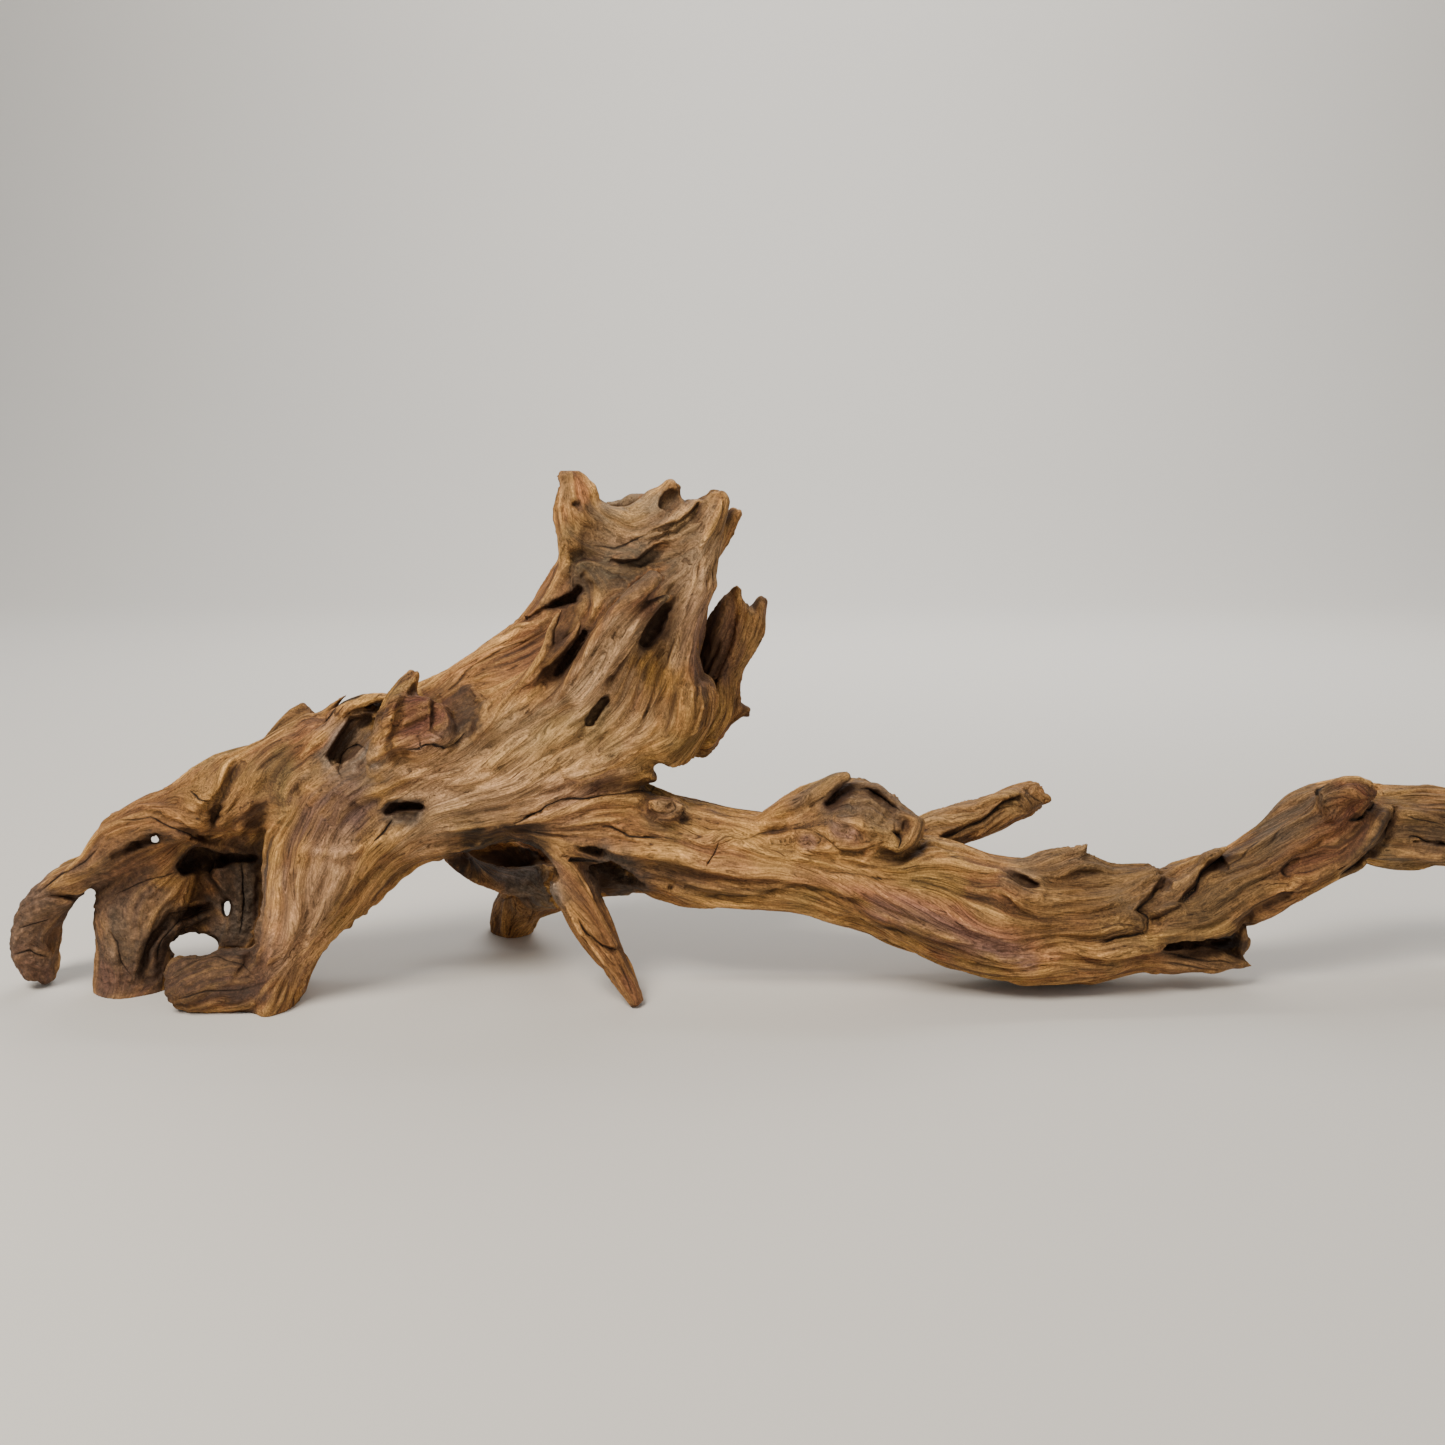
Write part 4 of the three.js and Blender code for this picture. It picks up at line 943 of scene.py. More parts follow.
@dataclass
class LongLimb(Member):
    """The limb to the right, its straight stub, and its rising end."""

    limbs: tuple[Limb, ...] = (
        limb("limb", 12, 0.05, (-89, 12, 104, 30, 40), (-56, 10, 90, 25, 36), (-18, 8, 75, 26, 32),
            (18, 6, 71, 26, 32), (48, 4, 70, 27, 32), (79, 2, 63, 29, 32), (109, 0, 52, 31, 33),
            (136, 0, 41, 32, 33), (164, 2, 34, 33, 33), (191, 3, 34, 32, 32), (219, 4, 38, 28, 30),
            (244, 6, 42, 24, 28), (267, 8, 48, 21, 24)),
        limb("limb_back_fold", 8, 0.03, (-84, 36, 104, 10, 9), (-34, 39, 83, 11, 10), (14, 37, 74, 11, 10),
            (62, 34, 70, 10, 10), (112, 32, 54, 11, 10), (166, 31, 40, 11, 10), (216, 26, 42, 9, 9)),
        limb("torn_collar", 8, 0.06, (40, -2, 90, 15, 22), (66, -2, 96, 21, 26), (88, 0, 91, 16, 24)),
        drawn_limb("eye_swell", 6, 0.05, (1000, 880, 2, 8, 13), (1030, 875, 2, 9, 15),
            (1056, 864, 4, 10, 13), (1082, 863, 5, 9.6, 12), (1112, 876, 5, 8.4, 11),
            (1150, 874, 4, 7.6, 10)),
        sprout("swell_tooth", 2, 0.08, (1070, 858, 4, 3, 5), (1082, 851, 4, 2.4, 4),
            (1087, 844, 4, 0.8, 1.5)),
        sprout("edge_tooth", 2, 0.08, (1208, 858, 2, 3, 5), (1220, 851, 2, 2, 3.5),
            (1229, 846, 2, 0.8, 1.2)),
        limb("lip", 5, 0.04, (203, 2, 16, 12, 20), (231, 2, 18, 9, 18), (259, 4, 17, 7.5, 18),
            (284, 8, 15, 4.5, 12)),
        sprout("lip_tooth", 2, 0.1, (1216, 958, -2, 4, 8), (1238, 962, 0, 3, 6), (1249, 965, 2, 0.9, 2)),
        sprout("lip_curl", 2, 0.06, (1239, 926, 0, 3, 8), (1241, 938, 0, 2.6, 8), (1238, 950, 0, 2.4, 8)),
        drawn_limb("lip_back", 3, 0.06, (1190, 950, 12, 5, 8), (1218, 948, 12, 5.4, 8),
            (1236, 944, 9, 5.4, 8), (1243, 942, 7, 4.6, 7)),
        sprout("collar_fin", 5, 0.05, (768, 818, -6, 5.4, 8), (786, 806, -10, 6.4, 9),
            (806, 795, -13, 6.2, 9), (824, 787, -14, 5.2, 8), (838, 779, -15, 4, 6), (847, 776, -15, 3, 4)),
        sprout("collar_crest", 3, 0.2, (852, 787, -4, 2.4, 5), (863, 786, -5, 2.6, 5),
            (873, 785, -5, 2.8, 5), (884, 793, -6, 2.6, 5), (898, 806, -8, 2.6, 5),
            (912, 817, -10, 2.6, 5)),
        sprout("collar_edge", 2, 0.1, (896, 808, -12, 3, 6), (910, 818, -14, 3, 5), (921, 824, -14, 2.4, 4),
            (920, 838, -18, 2, 3)),
        sprout("collar_curl", 3, 0.06, (889, 829, -21, 3.4, 6), (888, 842, -23, 4, 6),
            (898, 849, -24, 4, 6), (909, 843, -23, 4.4, 6), (915, 831, -20, 4, 6), (918, 820, -15, 3, 5)),
        limb("rise", 9, 0.05, (258, 8, 47, 22, 24), (287, 12, 58, 19, 22), (309, 16, 72, 18, 22),
            (332, 20, 86, 20, 24), (350, 24, 91, 18, 24)),
        drawn_limb("rise_keel", 7, 0.06, (1352, 860, 16, 5, 11), (1336, 866, 14, 6.4, 12),
            (1314, 877, 12, 6.6, 12), (1292, 889, 9, 6.6, 12), (1271, 902, 6, 6.6, 12),
            (1250, 914, 3, 5, 10)),
        limb("knuckle", 6, 0.05, (331, 10, 95, 14, 17), (345, 10, 103, 12, 15)),
        sprout("knuckle_head", 4, 0.05, (1324, 800, 2, 7, 8), (1346, 792, 0, 7.4, 9),
            (1360, 790, 0, 6.4, 9), (1369, 794, 1, 4, 7)),
        limb("end_length", 8, 0.06, (352, 28, 88, 20, 24), (380, 32, 83, 22, 26), (410, 36, 80, 22, 26),
            (438, 40, 76, 18, 22), (457, 42, 73, 10, 15)),
        limb("flap", 3, 0.03, (308, -2, 60, 6, 9), (331, 2, 73, 7, 9), (349, 4, 87, 7, 9),
            (362, 8, 96, 4, 6)),
        limb("stick", 4, 0.04, (84, 14, 62, 13, 16), (118, 34, 76, 12, 15), (146, 52, 82, 12, 14),
            (170, 68, 87, 11, 13), (186, 76, 91, 9, 11)),
    )
    hollows: tuple[Hollow, ...] = (
        drawn_hollow("limb_eye", 1, 0.4, (1005, 871, -12, 1.2, 3), (1014, 876, -13, 3.2, 5),
            (1026, 883, -13, 3.4, 5), (1037, 885, -12, 1, 3)),
        drawn_hollow("limb_waist", 4, 0, (745, 919, 5, 4, 60), (778, 919, 5, 5, 60), (812, 920, 5, 5, 60),
            (852, 933, 5, 4, 60)),
        drawn_hollow("collar_pocket", 2.5, 0.6, (850, 783, -15, 2.4, 9), (838, 794, -19, 3.8, 11),
            (828, 804, -21, 2.2, 8)),
        hollow("split_face", 2.5, 0.1, (226, -40, 49, 9, 16), (259, -36, 64, 12, 16),
            (294, -26, 79, 9, 14)),
        hollow("lip_gap", 1.2, 1, (240, -26, 30, 2.5, 26), (290, -12, 27, 4, 28)),
        hollow("ledge_gap", 1, 1, (221, -40, 55, 3, 12), (240, -36, 61, 4, 10)),
        hollow("ledge_gap_two", 1, 1, (245, -36, 62, 3, 10), (258, -30, 73, 4, 10)),
        hollow("end_crack", 0.8, 1, (331, -24, 67, 1.2, 12), (350, -14, 86, 1.5, 12),
            (362, -4, 100, 1.2, 8)),
        hollow("end_split", 0.8, 1, (380, 2, 80, 1, 10), (410, 4, 78, 1.5, 11), (440, 14, 76, 1.2, 8)),
    )
    marks: tuple[Mark, ...] = (
        ledge("limb step", 5, 1.3, (854, 899), (827, 893), (806, 885), (779, 888), (755, 896), (728, 898),
            (694, 893)),
        crack("limb step line", 1.6, 1, (694, 895), (728, 900), (755, 898), (779, 890), (806, 887),
            (827, 895), (854, 901)),
        ridge("under strand", 6, 1.5, (700, 904), (740, 907), (780, 902), (812, 905), (850, 920)),
        crack("wavy line", 2, 1, (724, 838), (744, 840), (760, 833), (800, 828), (814, 832), (844, 852),
            (860, 852), (884, 840)),
        ridge("wavy ridge", 4.5, 1.2, (724, 845), (744, 847), (772, 838), (800, 834), (814, 838),
            (842, 859), (862, 859), (880, 849)),
        ridge("upper fold", 7, 1.6, (676, 812), (704, 812), (730, 826), (758, 828), (784, 816), (806, 802)),
        groove("upper fold groove", 4, 1, (690, 822), (716, 830), (768, 850), (800, 852)),
        ridge("knot one ring", 3.5, 1, (834, 832), (838, 822), (848, 820), (856, 828), (852, 840),
            (840, 842)),
        groove("knot one eye", 4, 1.4, (843, 830), (847, 833)),
        ridge("knot two ring", 3, 1, (798, 846), (800, 837), (809, 834), (816, 841), (812, 850),
            (802, 852)),
        groove("knot two eye", 2.5, 1.4, (806, 843), (809, 844)),
        ridge("side knot", 5, 2.2, (674, 890), (686, 892)),
        groove("side knot hole", 2.5, 3, (670, 887), (674, 889)),
        crack("cross wrinkle", 2, 2, (720, 842), (706, 868)),
        ridge("fork fold", 7, 1.6, (560, 846), (680, 856), (700, 862)),
        groove("fork under groove", 5, 1.6, (632, 866), (664, 868), (700, 880), (740, 886), (780, 880)),
        ridge("ochre ridge one", 3, 1.2, (790, 858), (862, 870), (908, 870), (977, 889)),
        crack("ochre groove", 2, 0.9, (800, 866), (836, 873), (870, 877), (912, 878), (984, 900)),
        ridge("ochre ridge two", 3, 1, (818, 874), (850, 880), (930, 890), (970, 904)),
        ridge("pink ridge", 5, 1.4, (838, 880), (948, 913), (1028, 950)),
        groove("dark groove", 4.5, 1.8, (846, 897), (908, 918), (948, 928), (1020, 958)),
        ridge("lower strand one", 3.5, 1.4, (860, 910), (890, 924), (970, 956), (1010, 966), (1050, 970)),
        crack("lower groove one", 2.2, 1.2, (870, 922), (900, 936), (980, 964), (1020, 974)),
        ridge("lower strand two", 3, 1.2, (884, 936), (920, 952), (960, 966), (1000, 976)),
        ridge("eye rim low", 4, 1.8, (998, 868), (1006, 884), (1018, 896), (1034, 898), (1046, 888)),
        ridge("eye rim high", 4, 1.2, (1000, 866), (1016, 868), (1044, 882)),
        ledge("layer edge", 4, 1.4, (1060, 922), (1040, 921), (1024, 912), (998, 889), (983, 887)),
        ridge("bulge fold one", 7, 1.6, (1010, 930), (1050, 936), (1090, 934), (1128, 924)),
        groove("bulge groove one", 4, 1.6, (1040, 950), (1070, 940), (1100, 938), (1124, 934)),
        ridge("bulge fold two", 6, 1.4, (1030, 962), (1070, 956), (1104, 954), (1140, 948)),
        groove("bulge groove two", 4, 1.4, (1034, 974), (1070, 968), (1110, 966), (1150, 958)),
        crack("bulge end crack", 3, 3, (1104, 943), (1116, 937), (1146, 934)),
        ledge("bulge end", 7, 5, (1165, 877), (1151, 892), (1137, 911), (1146, 919), (1146, 929),
            (1143, 934)),
        ledge("second layer", 5, 2.6, (1183, 903), (1148, 919)),
        ledge("second torn edge", 7, 5, (1223, 854), (1210, 863), (1201, 872), (1194, 883), (1178, 900)),
        crack("torn edge notch", 2.6, 2.4, (1202, 872), (1196, 880), (1194, 892), (1182, 902)),
        grain("split lines one", 7, 0, (1160, 924), (1196, 914), (1230, 890), (1262, 862), (1286, 838)),
        grain("split lines two", 7, 0, (1172, 930), (1212, 920), (1276, 872)),
        crack("split lines three", 1.6, 1, (1222, 868), (1244, 854), (1262, 836)),
        ridge("lip ridge", 3.5, 2.2, (1144, 938), (1205, 935), (1224, 930), (1244, 914), (1304, 882)),
        groove("lip under line", 3, 2.6, (1150, 946), (1240, 942)),
        crack("lip fan one", 1.8, 1.2, (1160, 952), (1220, 962), (1238, 962)),
        crack("lip fan two", 1.8, 1.2, (1164, 962), (1224, 972)),
        groove("rise edge groove", 3.5, 1.6, (1236, 928), (1262, 908), (1314, 880)),
        ledge("notch", 4, 3.4, (1300, 857), (1291, 860), (1281, 869), (1287, 877)),
        ledge("notch layer", 5, 1.6, (1281, 869), (1292, 859), (1321, 848), (1338, 846), (1354, 836),
            (1366, 822)),
        ledge("flap edge", 5, 3.4, (1392, 804), (1388, 818), (1380, 833), (1369, 848), (1338, 877)),
        crack("flap line", 2.4, 2.6, (1394, 806), (1390, 819), (1382, 834), (1371, 849), (1340, 878)),
        crack("knuckle crack", 2, 2.6, (1313, 797), (1317, 790), (1326, 786)),
        crack("knuckle crease", 3.4, 5, (1379, 795), (1373, 805), (1362, 817), (1350, 822)),
        ridge("knuckle ridge", 6, 1.6, (1342, 782), (1356, 786), (1366, 800), (1356, 814)),
        crack("rise lines one", 1.4, 1, (1262, 846), (1312, 804)),
        crack("rise lines two", 1.4, 0.9, (1290, 850), (1316, 832), (1340, 824)),
        ridge("end ridge one", 4, 1.4, (1392, 800), (1445, 812)),
        ridge("end ridge two", 4, 1.4, (1396, 852), (1445, 858)),
        crack("end split line", 2.2, 3, (1408, 836), (1445, 842)),
        crack("end groove one", 2, 1.4, (1402, 816), (1445, 826)),
        groove("collar face", 9, 2.6, (852, 800), (874, 802), (892, 818)),
        crack("collar lip pit", 2.6, 3, (891, 830), (899, 834), (901, 841), (898, 848)),
        groove("collar under", 4, 2, (880, 856), (900, 860), (918, 850), (924, 834)),
        crack("collar teeth one", 1.6, 1.6, (858, 789), (870, 789), (880, 795), (900, 812)),
        groove("horn furrow", 4, 1.4, (838, 776), (820, 790), (806, 806)),
        ledge("stick ridge", 7, 2.6, (1024, 794), (1008, 799), (982, 819), (950, 833), (934, 842)),
        crack("stick split edge", 2.6, 1.6, (938, 840), (982, 820), (1008, 800), (1022, 796)),
        crack("stick end cracks", 1.6, 1.2, (1022, 786), (1042, 802)),
        crack("stick end ring", 1.6, 1, (1030, 784), (1027, 794), (1036, 808)),
    )
    stains_and_painted_light: tuple[StainAndPaintedLight, ...] = (
        stain_and_painted_light("pink streak", PINK, 0.7, 6, (800, 874), (838, 880), (868, 889), (908, 900), (948, 913),
            (988, 932), (1028, 950), (1050, 956)),
        stain_and_painted_light("pink at the fork", PINK, 0.35, 10, (700, 850), (740, 862), (780, 868)),
        stain_and_painted_light("dark streak", PURPLE, 0.65, 6, (880, 908), (920, 920), (960, 934), (1000, 950), (1026, 962)),
        stain_and_painted_light("ochre top", OCHRE, 0.5, 8, (760, 860), (810, 864), (860, 870), (908, 872), (950, 884)),
        stain_and_painted_light("ochre knot", OCHRE, 0.5, 6, (880, 830), (892, 838)),
        stain_and_painted_light("ochre under", OCHRE, 0.35, 7, (700, 904), (760, 904), (800, 900)),
        stain_and_painted_light("knot one", PURPLE, 0.6, 6, (843, 829), (847, 833)),
        stain_and_painted_light("knot two", PURPLE, 0.6, 4, (807, 843), (808, 844)),
        stain_and_painted_light("collar inside", (0.15, 0.105, 0.065), 0.75, 12, (846, 798), (870, 796), (890, 814), rot=0.3),
        # Painted shade in the collar's slit.
        stain_and_painted_light("collar slit", DARK_BROWN_AND_SHADE, 0.9, 5, (842, 788), (832, 802)),
        stain_and_painted_light("horn side", (0.13, 0.09, 0.06), 0.5, 7, (812, 794), (800, 804)),
        # Painted shade in the stick's split.
        stain_and_painted_light("stick split", DARK_BROWN_AND_SHADE, 0.7, 3, (950, 838), (978, 824), (996, 815)),
        stain_and_painted_light("stick", (0.23, 0.125, 0.046), 0.6, 14, (940, 826), (990, 806), (1030, 796)),
        stain_and_painted_light("eye", (0.1, 0.065, 0.045), 0.7, 5, (1010, 876), (1030, 884)),
        stain_and_painted_light("swell", (0.16, 0.1, 0.05), 0.75, 15, (1040, 862), (1070, 856), (1110, 876)),
        stain_and_painted_light("bulge", (0.13, 0.062, 0.019), 0.85, 20, (1050, 912), (1100, 906), (1130, 890)),
        # Painted shade along the crack at the bulge's end.
        stain_and_painted_light("bulge end dark", DARK_BROWN_AND_SHADE, 0.45, 8, (1110, 944), (1140, 938)),
        stain_and_painted_light("ledge one shade", DARK_BROWN_AND_SHADE, 0.75, 5, (1166, 880), (1150, 904), (1160, 910)),
        stain_and_painted_light("ledge two shade", DARK_BROWN_AND_SHADE, 0.75, 5, (1222, 856), (1206, 874), (1190, 896)),
        stain_and_painted_light("split face", (0.07, 0.037, 0.015), 0.93, 18, (1180, 918), (1220, 896), (1256, 862)),
        stain_and_painted_light("lip edge", OCHRE, 0.5, 4, (1150, 938), (1200, 936), (1226, 930)),
        # Painted shade in the gap under the lip.
        stain_and_painted_light("lip gap", DARK_BROWN_AND_SHADE, 0.9, 4, (1204, 945), (1240, 944)),
        stain_and_painted_light("lip", (0.3, 0.17, 0.075), 0.55, 8, (1180, 960), (1230, 964)),
        stain_and_painted_light("knuckle red", (0.1, 0.032, 0.016), 0.92, 14, (1336, 800), (1356, 806), (1344, 818)),
        stain_and_painted_light("rise red", (0.13, 0.048, 0.022), 0.75, 15, (1270, 850), (1300, 846), (1340, 836)),
        stain_and_painted_light("rise grey", (0.09, 0.063, 0.035), 0.8, 14, (1270, 836), (1296, 810), (1316, 796)),
        stain_and_painted_light("flap shade", DARK_BROWN_AND_SHADE, 0.7, 4, (1390, 814), (1374, 846), (1350, 870)),
        stain_and_painted_light("end pale", (0.26, 0.145, 0.06), 0.45, 8, (1400, 790), (1445, 800)),
        stain_and_painted_light("end brown", (0.1, 0.056, 0.024), 0.85, 13, (1398, 820), (1445, 826)),
        stain_and_painted_light("limb end brown", (0.14, 0.08, 0.032), 0.7, 20, (1120, 880), (1180, 900), (1240, 870)),
        stain_and_painted_light("end streak", DARK_BROWN_AND_SHADE, 0.4, 4, (1405, 808), (1445, 816)),
        stain_and_painted_light("end low", (0.13, 0.085, 0.055), 0.4, 8, (1396, 850), (1445, 852)),
        stain_and_painted_light("end moss", MOSS_BROWN, 0.5, 7, (1380, 850), (1396, 866)),
        stain_and_painted_light("fork shade", DARK_BROWN_AND_SHADE, 0.5, 8, (640, 880), (690, 884)),
    )


@dataclass
class Undersprouts(Member):
    """The peg in front, and the back leg behind it."""

    limbs: tuple[Limb, ...] = (
        limb("peg_limb", 5, 0.05, (-92, 2, 92, 14, 20), (-85, -6, 70, 13, 18), (-77, -12, 55, 11, 16),
            (-68, -17, 39, 10, 14), (-59, -21, 24, 8, 12), (-50, -25, 10, 6, 10), (-46, -27, 2, 4, 8)),
        limb("back_stub", 6, 0.06, (-62, 18, 62, 15, 15), (-91, 50, 43, 13, 16), (-116, 78, 29, 13, 15),
            (-128, 94, 12, 12, 15), (-130, 98, -6, 12, 14)),
    )
    hollows: tuple[Hollow, ...] = (
        hollow("peg_shoulder", 1.2, 1, (-74, -30, 84, 3, 12), (-62, -26, 82, 4, 14)),
        hollow("right_of_peg", 2, 1, (-64, -14, 72, 7, 16), (-52, -4, 66, 8, 16)),
    )
    marks: tuple[Mark, ...] = (
        grain("peg face line", 6, 0, (548, 862), (604, 948), (624, 974)),
        crack("peg long crack", 2, 1.8, (579, 918), (588, 934), (602, 945), (613, 950), (620, 945)),
        ledge("peg ledge", 4, 1.2, (622, 944), (613, 948), (601, 944), (588, 932)),
        ridge("peg side ridge", 3.5, 1.2, (586, 872), (592, 900), (620, 954)),
        ridge("peg left ridge", 3, 1.2, (536, 858), (580, 930), (606, 968)),
        crack("peg tip crack", 1.8, 1.2, (620, 964), (636, 996)),
        crack("stub end ring", 1.4, 1, (500, 902), (512, 896), (528, 900), (534, 914), (524, 926)),
        crack("stub cracks", 1.4, 0.9, (514, 900), (516, 914), (510, 926)),
    )
    stains_and_painted_light: tuple[StainAndPaintedLight, ...] = (
        stain_and_painted_light("peg heart", (0.18, 0.076, 0.026), 0.75, 10, (570, 880), (596, 926), (624, 976)),
        stain_and_painted_light("peg tip", RED_HEART, 0.45, 5, (630, 986), (640, 1000)),
        stain_and_painted_light("peg pale edge", OCHRE, 0.2, 4, (540, 862), (566, 902), (590, 938)),
        stain_and_painted_light("stub end", TAN, 0.6, 8, (510, 908), (524, 916)),
        stain_and_painted_light("stub neck", ASH, 0.7, 8, (528, 886), (548, 892), rot=0.6),
    )


@dataclass(frozen=True)
class Fork:
    """A fork of the wood: the CAD node past it, and the blocks that hold that node."""

    node: str
    slot: Slot
    part: str
    blocks: tuple[Block, ...]


def fork(node: str, slot: Slot, *blocks: Block, part: str = "wood") -> Fork:
    """A fork with its blocks in a row."""
    return Fork(node, slot, part, blocks)


FORKS: tuple[Fork, ...] = (
    fork("back_shard", Slot.ROTTED, Block((-4, 26, 175), (0.6, 0.8, 0), 60, (-48, 47), (-40, 36))),
    fork("peg", Slot.WEATHERED, Block((-87, -4, 74), (0.46, -0.3, -0.84), 130, (-21, 21), (-26, 19))),
    fork("back_leg", Slot.ROTTED, Block((-84, 42, 47), (-0.59, 0.68, -0.43), 120, (-28, 30), (-26, 26))),
    fork("limb_end", Slot.WEATHERED, Block((283, 12, 57), (0.829, 0, 0.559), 240, (-120, 150), (-90, 90))),
    fork("straight_stub", Slot.BLEACHED,
         Block((124, 38, 77), (0.836, 0.517, 0.185), 100, (-20, 20), (-20, 20))),
    fork("long_limb", Slot.WEATHERED, Block((112, 0, 52), (1, 0, 0), 600, (-300, 300), (-90, 110)),
         part="far_wood"),
    fork("long_limb", Slot.WEATHERED, Block((-38, 0, 112), (0.961, 0, 0.276), 600, (0, 300), (-90, 110))),
    fork("root_arm", Slot.WEATHERED, Block((-248, 0, 119), (-0.919, 0, -0.395), 120, (-22, 60), (-90, 90)),
         Block((-304, 0, 24), (-1, 0, 0), 140, (-60, 70), (-90, 90))),
    fork("root_leg", Slot.WEATHERED,
         Block((-196, 0, 107), (-0.734, 0, -0.679), 300, (-75, 200), (-90, 90))),
    fork("trunk", Slot.WEATHERED, Block((-58, 18, 186), (0.35, 0, 0.94), 200, (-200, 200), (-200, 200)),
         part="crown_wood"),
    fork("trunk", Slot.WEATHERED, Block((-118, 12, 130), (-0.95, 0, -0.3), 300, (-200, 200), (-200, 200)),
         part="shoulder_wood"),
    fork("trunk", Slot.WEATHERED),
)


class WoodField:
    """The distance to the wood's surface, and the way that its grain runs, on a grid."""

    ROUGH = ((46.0, 2.0), (23.0, 1.2), (12.0, 0.7))  # cell and height of the surface's swells, mm
    WAVES = ((36.0, 0.42), (14.0, 0.16))  # cell in mm and turn in radians of the grain's waves
    STRETCH = 9.0  # how long a straight stretch of a loft is, mm
    SPIRAL = (90.0, 60.0)  # length over which the three and the five flutes turn by one radian, mm
    BAND = 9.0  # how far from the surface the marks are cut, mm
    GRAIN_REACH = 5.0  # how far a neighbouring limb's grain carries, mm
    ROT_REACH = 3.0  # how far rot carries into the wood round a hollow, mm
    PATCH = 4.0  # pixels across one cell of the front's depth map
    RIM = 30  # cells kept round the picture
    BEHIND = (12.0, 22.0)  # mm behind the wood's front where it starts to be hidden, and is
    LIMB_REACH = 14.0  # how far round a limb its distance is worked out, mm
    HOLLOW_REACH = 10.0
    COMB_TURN = (-0.1, 0.5)  # how far the wood must face the camera to be combed, not at all and fully
    CUT_TURN = (0.05, 0.4)  # and to be cut
    LIMITS = (-9.0, 6.0)  # the deepest cut and the highest rise, mm
    UNEVEN = (11.0, 0.45)  # cell in mm over which a mark's height comes and goes, and by what share
    NO_WOOD = 1200.0  # depth where no wood is seen, mm
    COMB_WIDTH = (1.6, 3.0)  # reach of a mark on the grain: a share of its width, and mm beside that
    PHOTO_SCALE = 1.9  # pixels a mm on the wood
    WANDER = (9.0, 0.9)  # cell over which a mark's line strays, and how far, mm

    def __init__(self, camera: PhotoCamera, noise: Lattice) -> None:
        """Starts an empty field.

        Args:
            camera: The camera that the marks are drawn from.
            noise: Where the swells come from.
        """
        self.camera = camera
        self.noise = noise
        self.grid = Grid(LOW, HIGH, COARSE)
        self.wood = np.full(self.grid.shape, FAR, np.float32)
        self.rot = np.zeros(self.grid.shape, np.float32)
        self.grain = np.zeros(self.grid.shape + (3,), np.float32)

    def loft(self, form: Limb | Hollow, flutes: float, phase: float,
             reach: float) -> tuple[Window, np.ndarray, np.ndarray]:
        """The distance to a lofted form, on the part of the grid near it.

        Args:
            form: The limb or the hollow.
            flutes: How strongly the old root lines stand out, as a share of the thickness.
            phase: Turns the flutes.
            reach: How far round the form the distance is needed, in mm.

        Returns:
            The window of the grid, the distances in it, and the form's direction there.
        """
        rows = np.array(self.camera.stations(form), float)
        length = np.linalg.norm(np.diff(rows[:, :3], axis=0), axis=1).sum()
        path = spline(rows, max(3, int(length / self.STRETCH)))
        centres, sizes = path[:, :3], path[:, 3:]
        margin = sizes.max() + reach
        window = self.grid.window(centres.min(0) - margin, centres.max(0) + margin)
        shape = tuple(s.stop - s.start for s in window)
        best = np.full(shape, FAR, np.float32)
        way = np.zeros(shape + (3,), np.float32)
        walked = 0.0
        for start, stop, first, last in zip(centres, centres[1:], sizes, sizes[1:]):
            span = np.linalg.norm(stop - start)
            tangent = (stop - start) / span
            across, front = section_frame(tangent, form.through)
            room = max(first.max(), last.max()) + reach
            part = self.grid.window(np.minimum(start, stop) - room, np.maximum(start, stop) + room)
            inner = tuple(slice(p.start - w.start, p.stop - w.start) for p, w in zip(part, window))
            x, y, z = (line - start[axis] for axis, line in enumerate(self.grid.axes(part)))
            along, side, depth = (x * d[0] + y * d[1] + z * d[2] for d in (tangent, across, front))
            t = np.clip(along / span, 0, 1)
            end = along - t * span
            wide, deep = (first[i] + (last[i] - first[i]) * t for i in range(2))
            if flutes:
                angle = np.arctan2(depth / deep, side / wide)
                run = walked + t * span
                out = 1 + flutes * (0.6 * np.cos(3 * angle + phase + run / self.SPIRAL[0])
                                    + 0.4 * np.cos(5 * angle - 2 * phase - run / self.SPIRAL[1]))
                wide, deep = wide * out, deep * out
            cap = CAP * np.minimum(wide, deep)
            k0 = np.sqrt((side / wide) ** 2 + (depth / deep) ** 2 + (end / cap) ** 2)
            k1 = np.sqrt((side / wide**2) ** 2 + (depth / deep**2) ** 2 + (end / cap**2) ** 2)
            distance = (k0 * (k0 - 1) / np.maximum(k1, 1e-6)).astype(np.float32)
            closer = distance < best[inner]
            best[inner] = np.where(closer, distance, best[inner])
            way[inner][closer] = tangent
            walked += span
        return window, best, way

    def add_limb(self, form: Limb, phase: float) -> None:
        """Blends a limb into the wood, and its direction into the grain.

        Args:
            form: The limb.
            phase: Turns its flutes.
        """
        window, distance, way = self.loft(form, form.flutes, phase, self.LIMB_REACH)
        weight = np.exp(-np.clip(distance, 0, None) / self.GRAIN_REACH)[..., None]
        kept = self.grain[window]
        turned = np.where((kept * way).sum(-1, keepdims=True) < 0, -1.0, 1.0)
        kept += (weight * turned * way).astype(np.float32)
        near = self.wood[window]
        overlap = np.clip(form.blend - np.abs(near - distance), 0, None) / form.blend
        self.wood[window] = np.minimum(near, distance) - overlap**2 * form.blend / 4

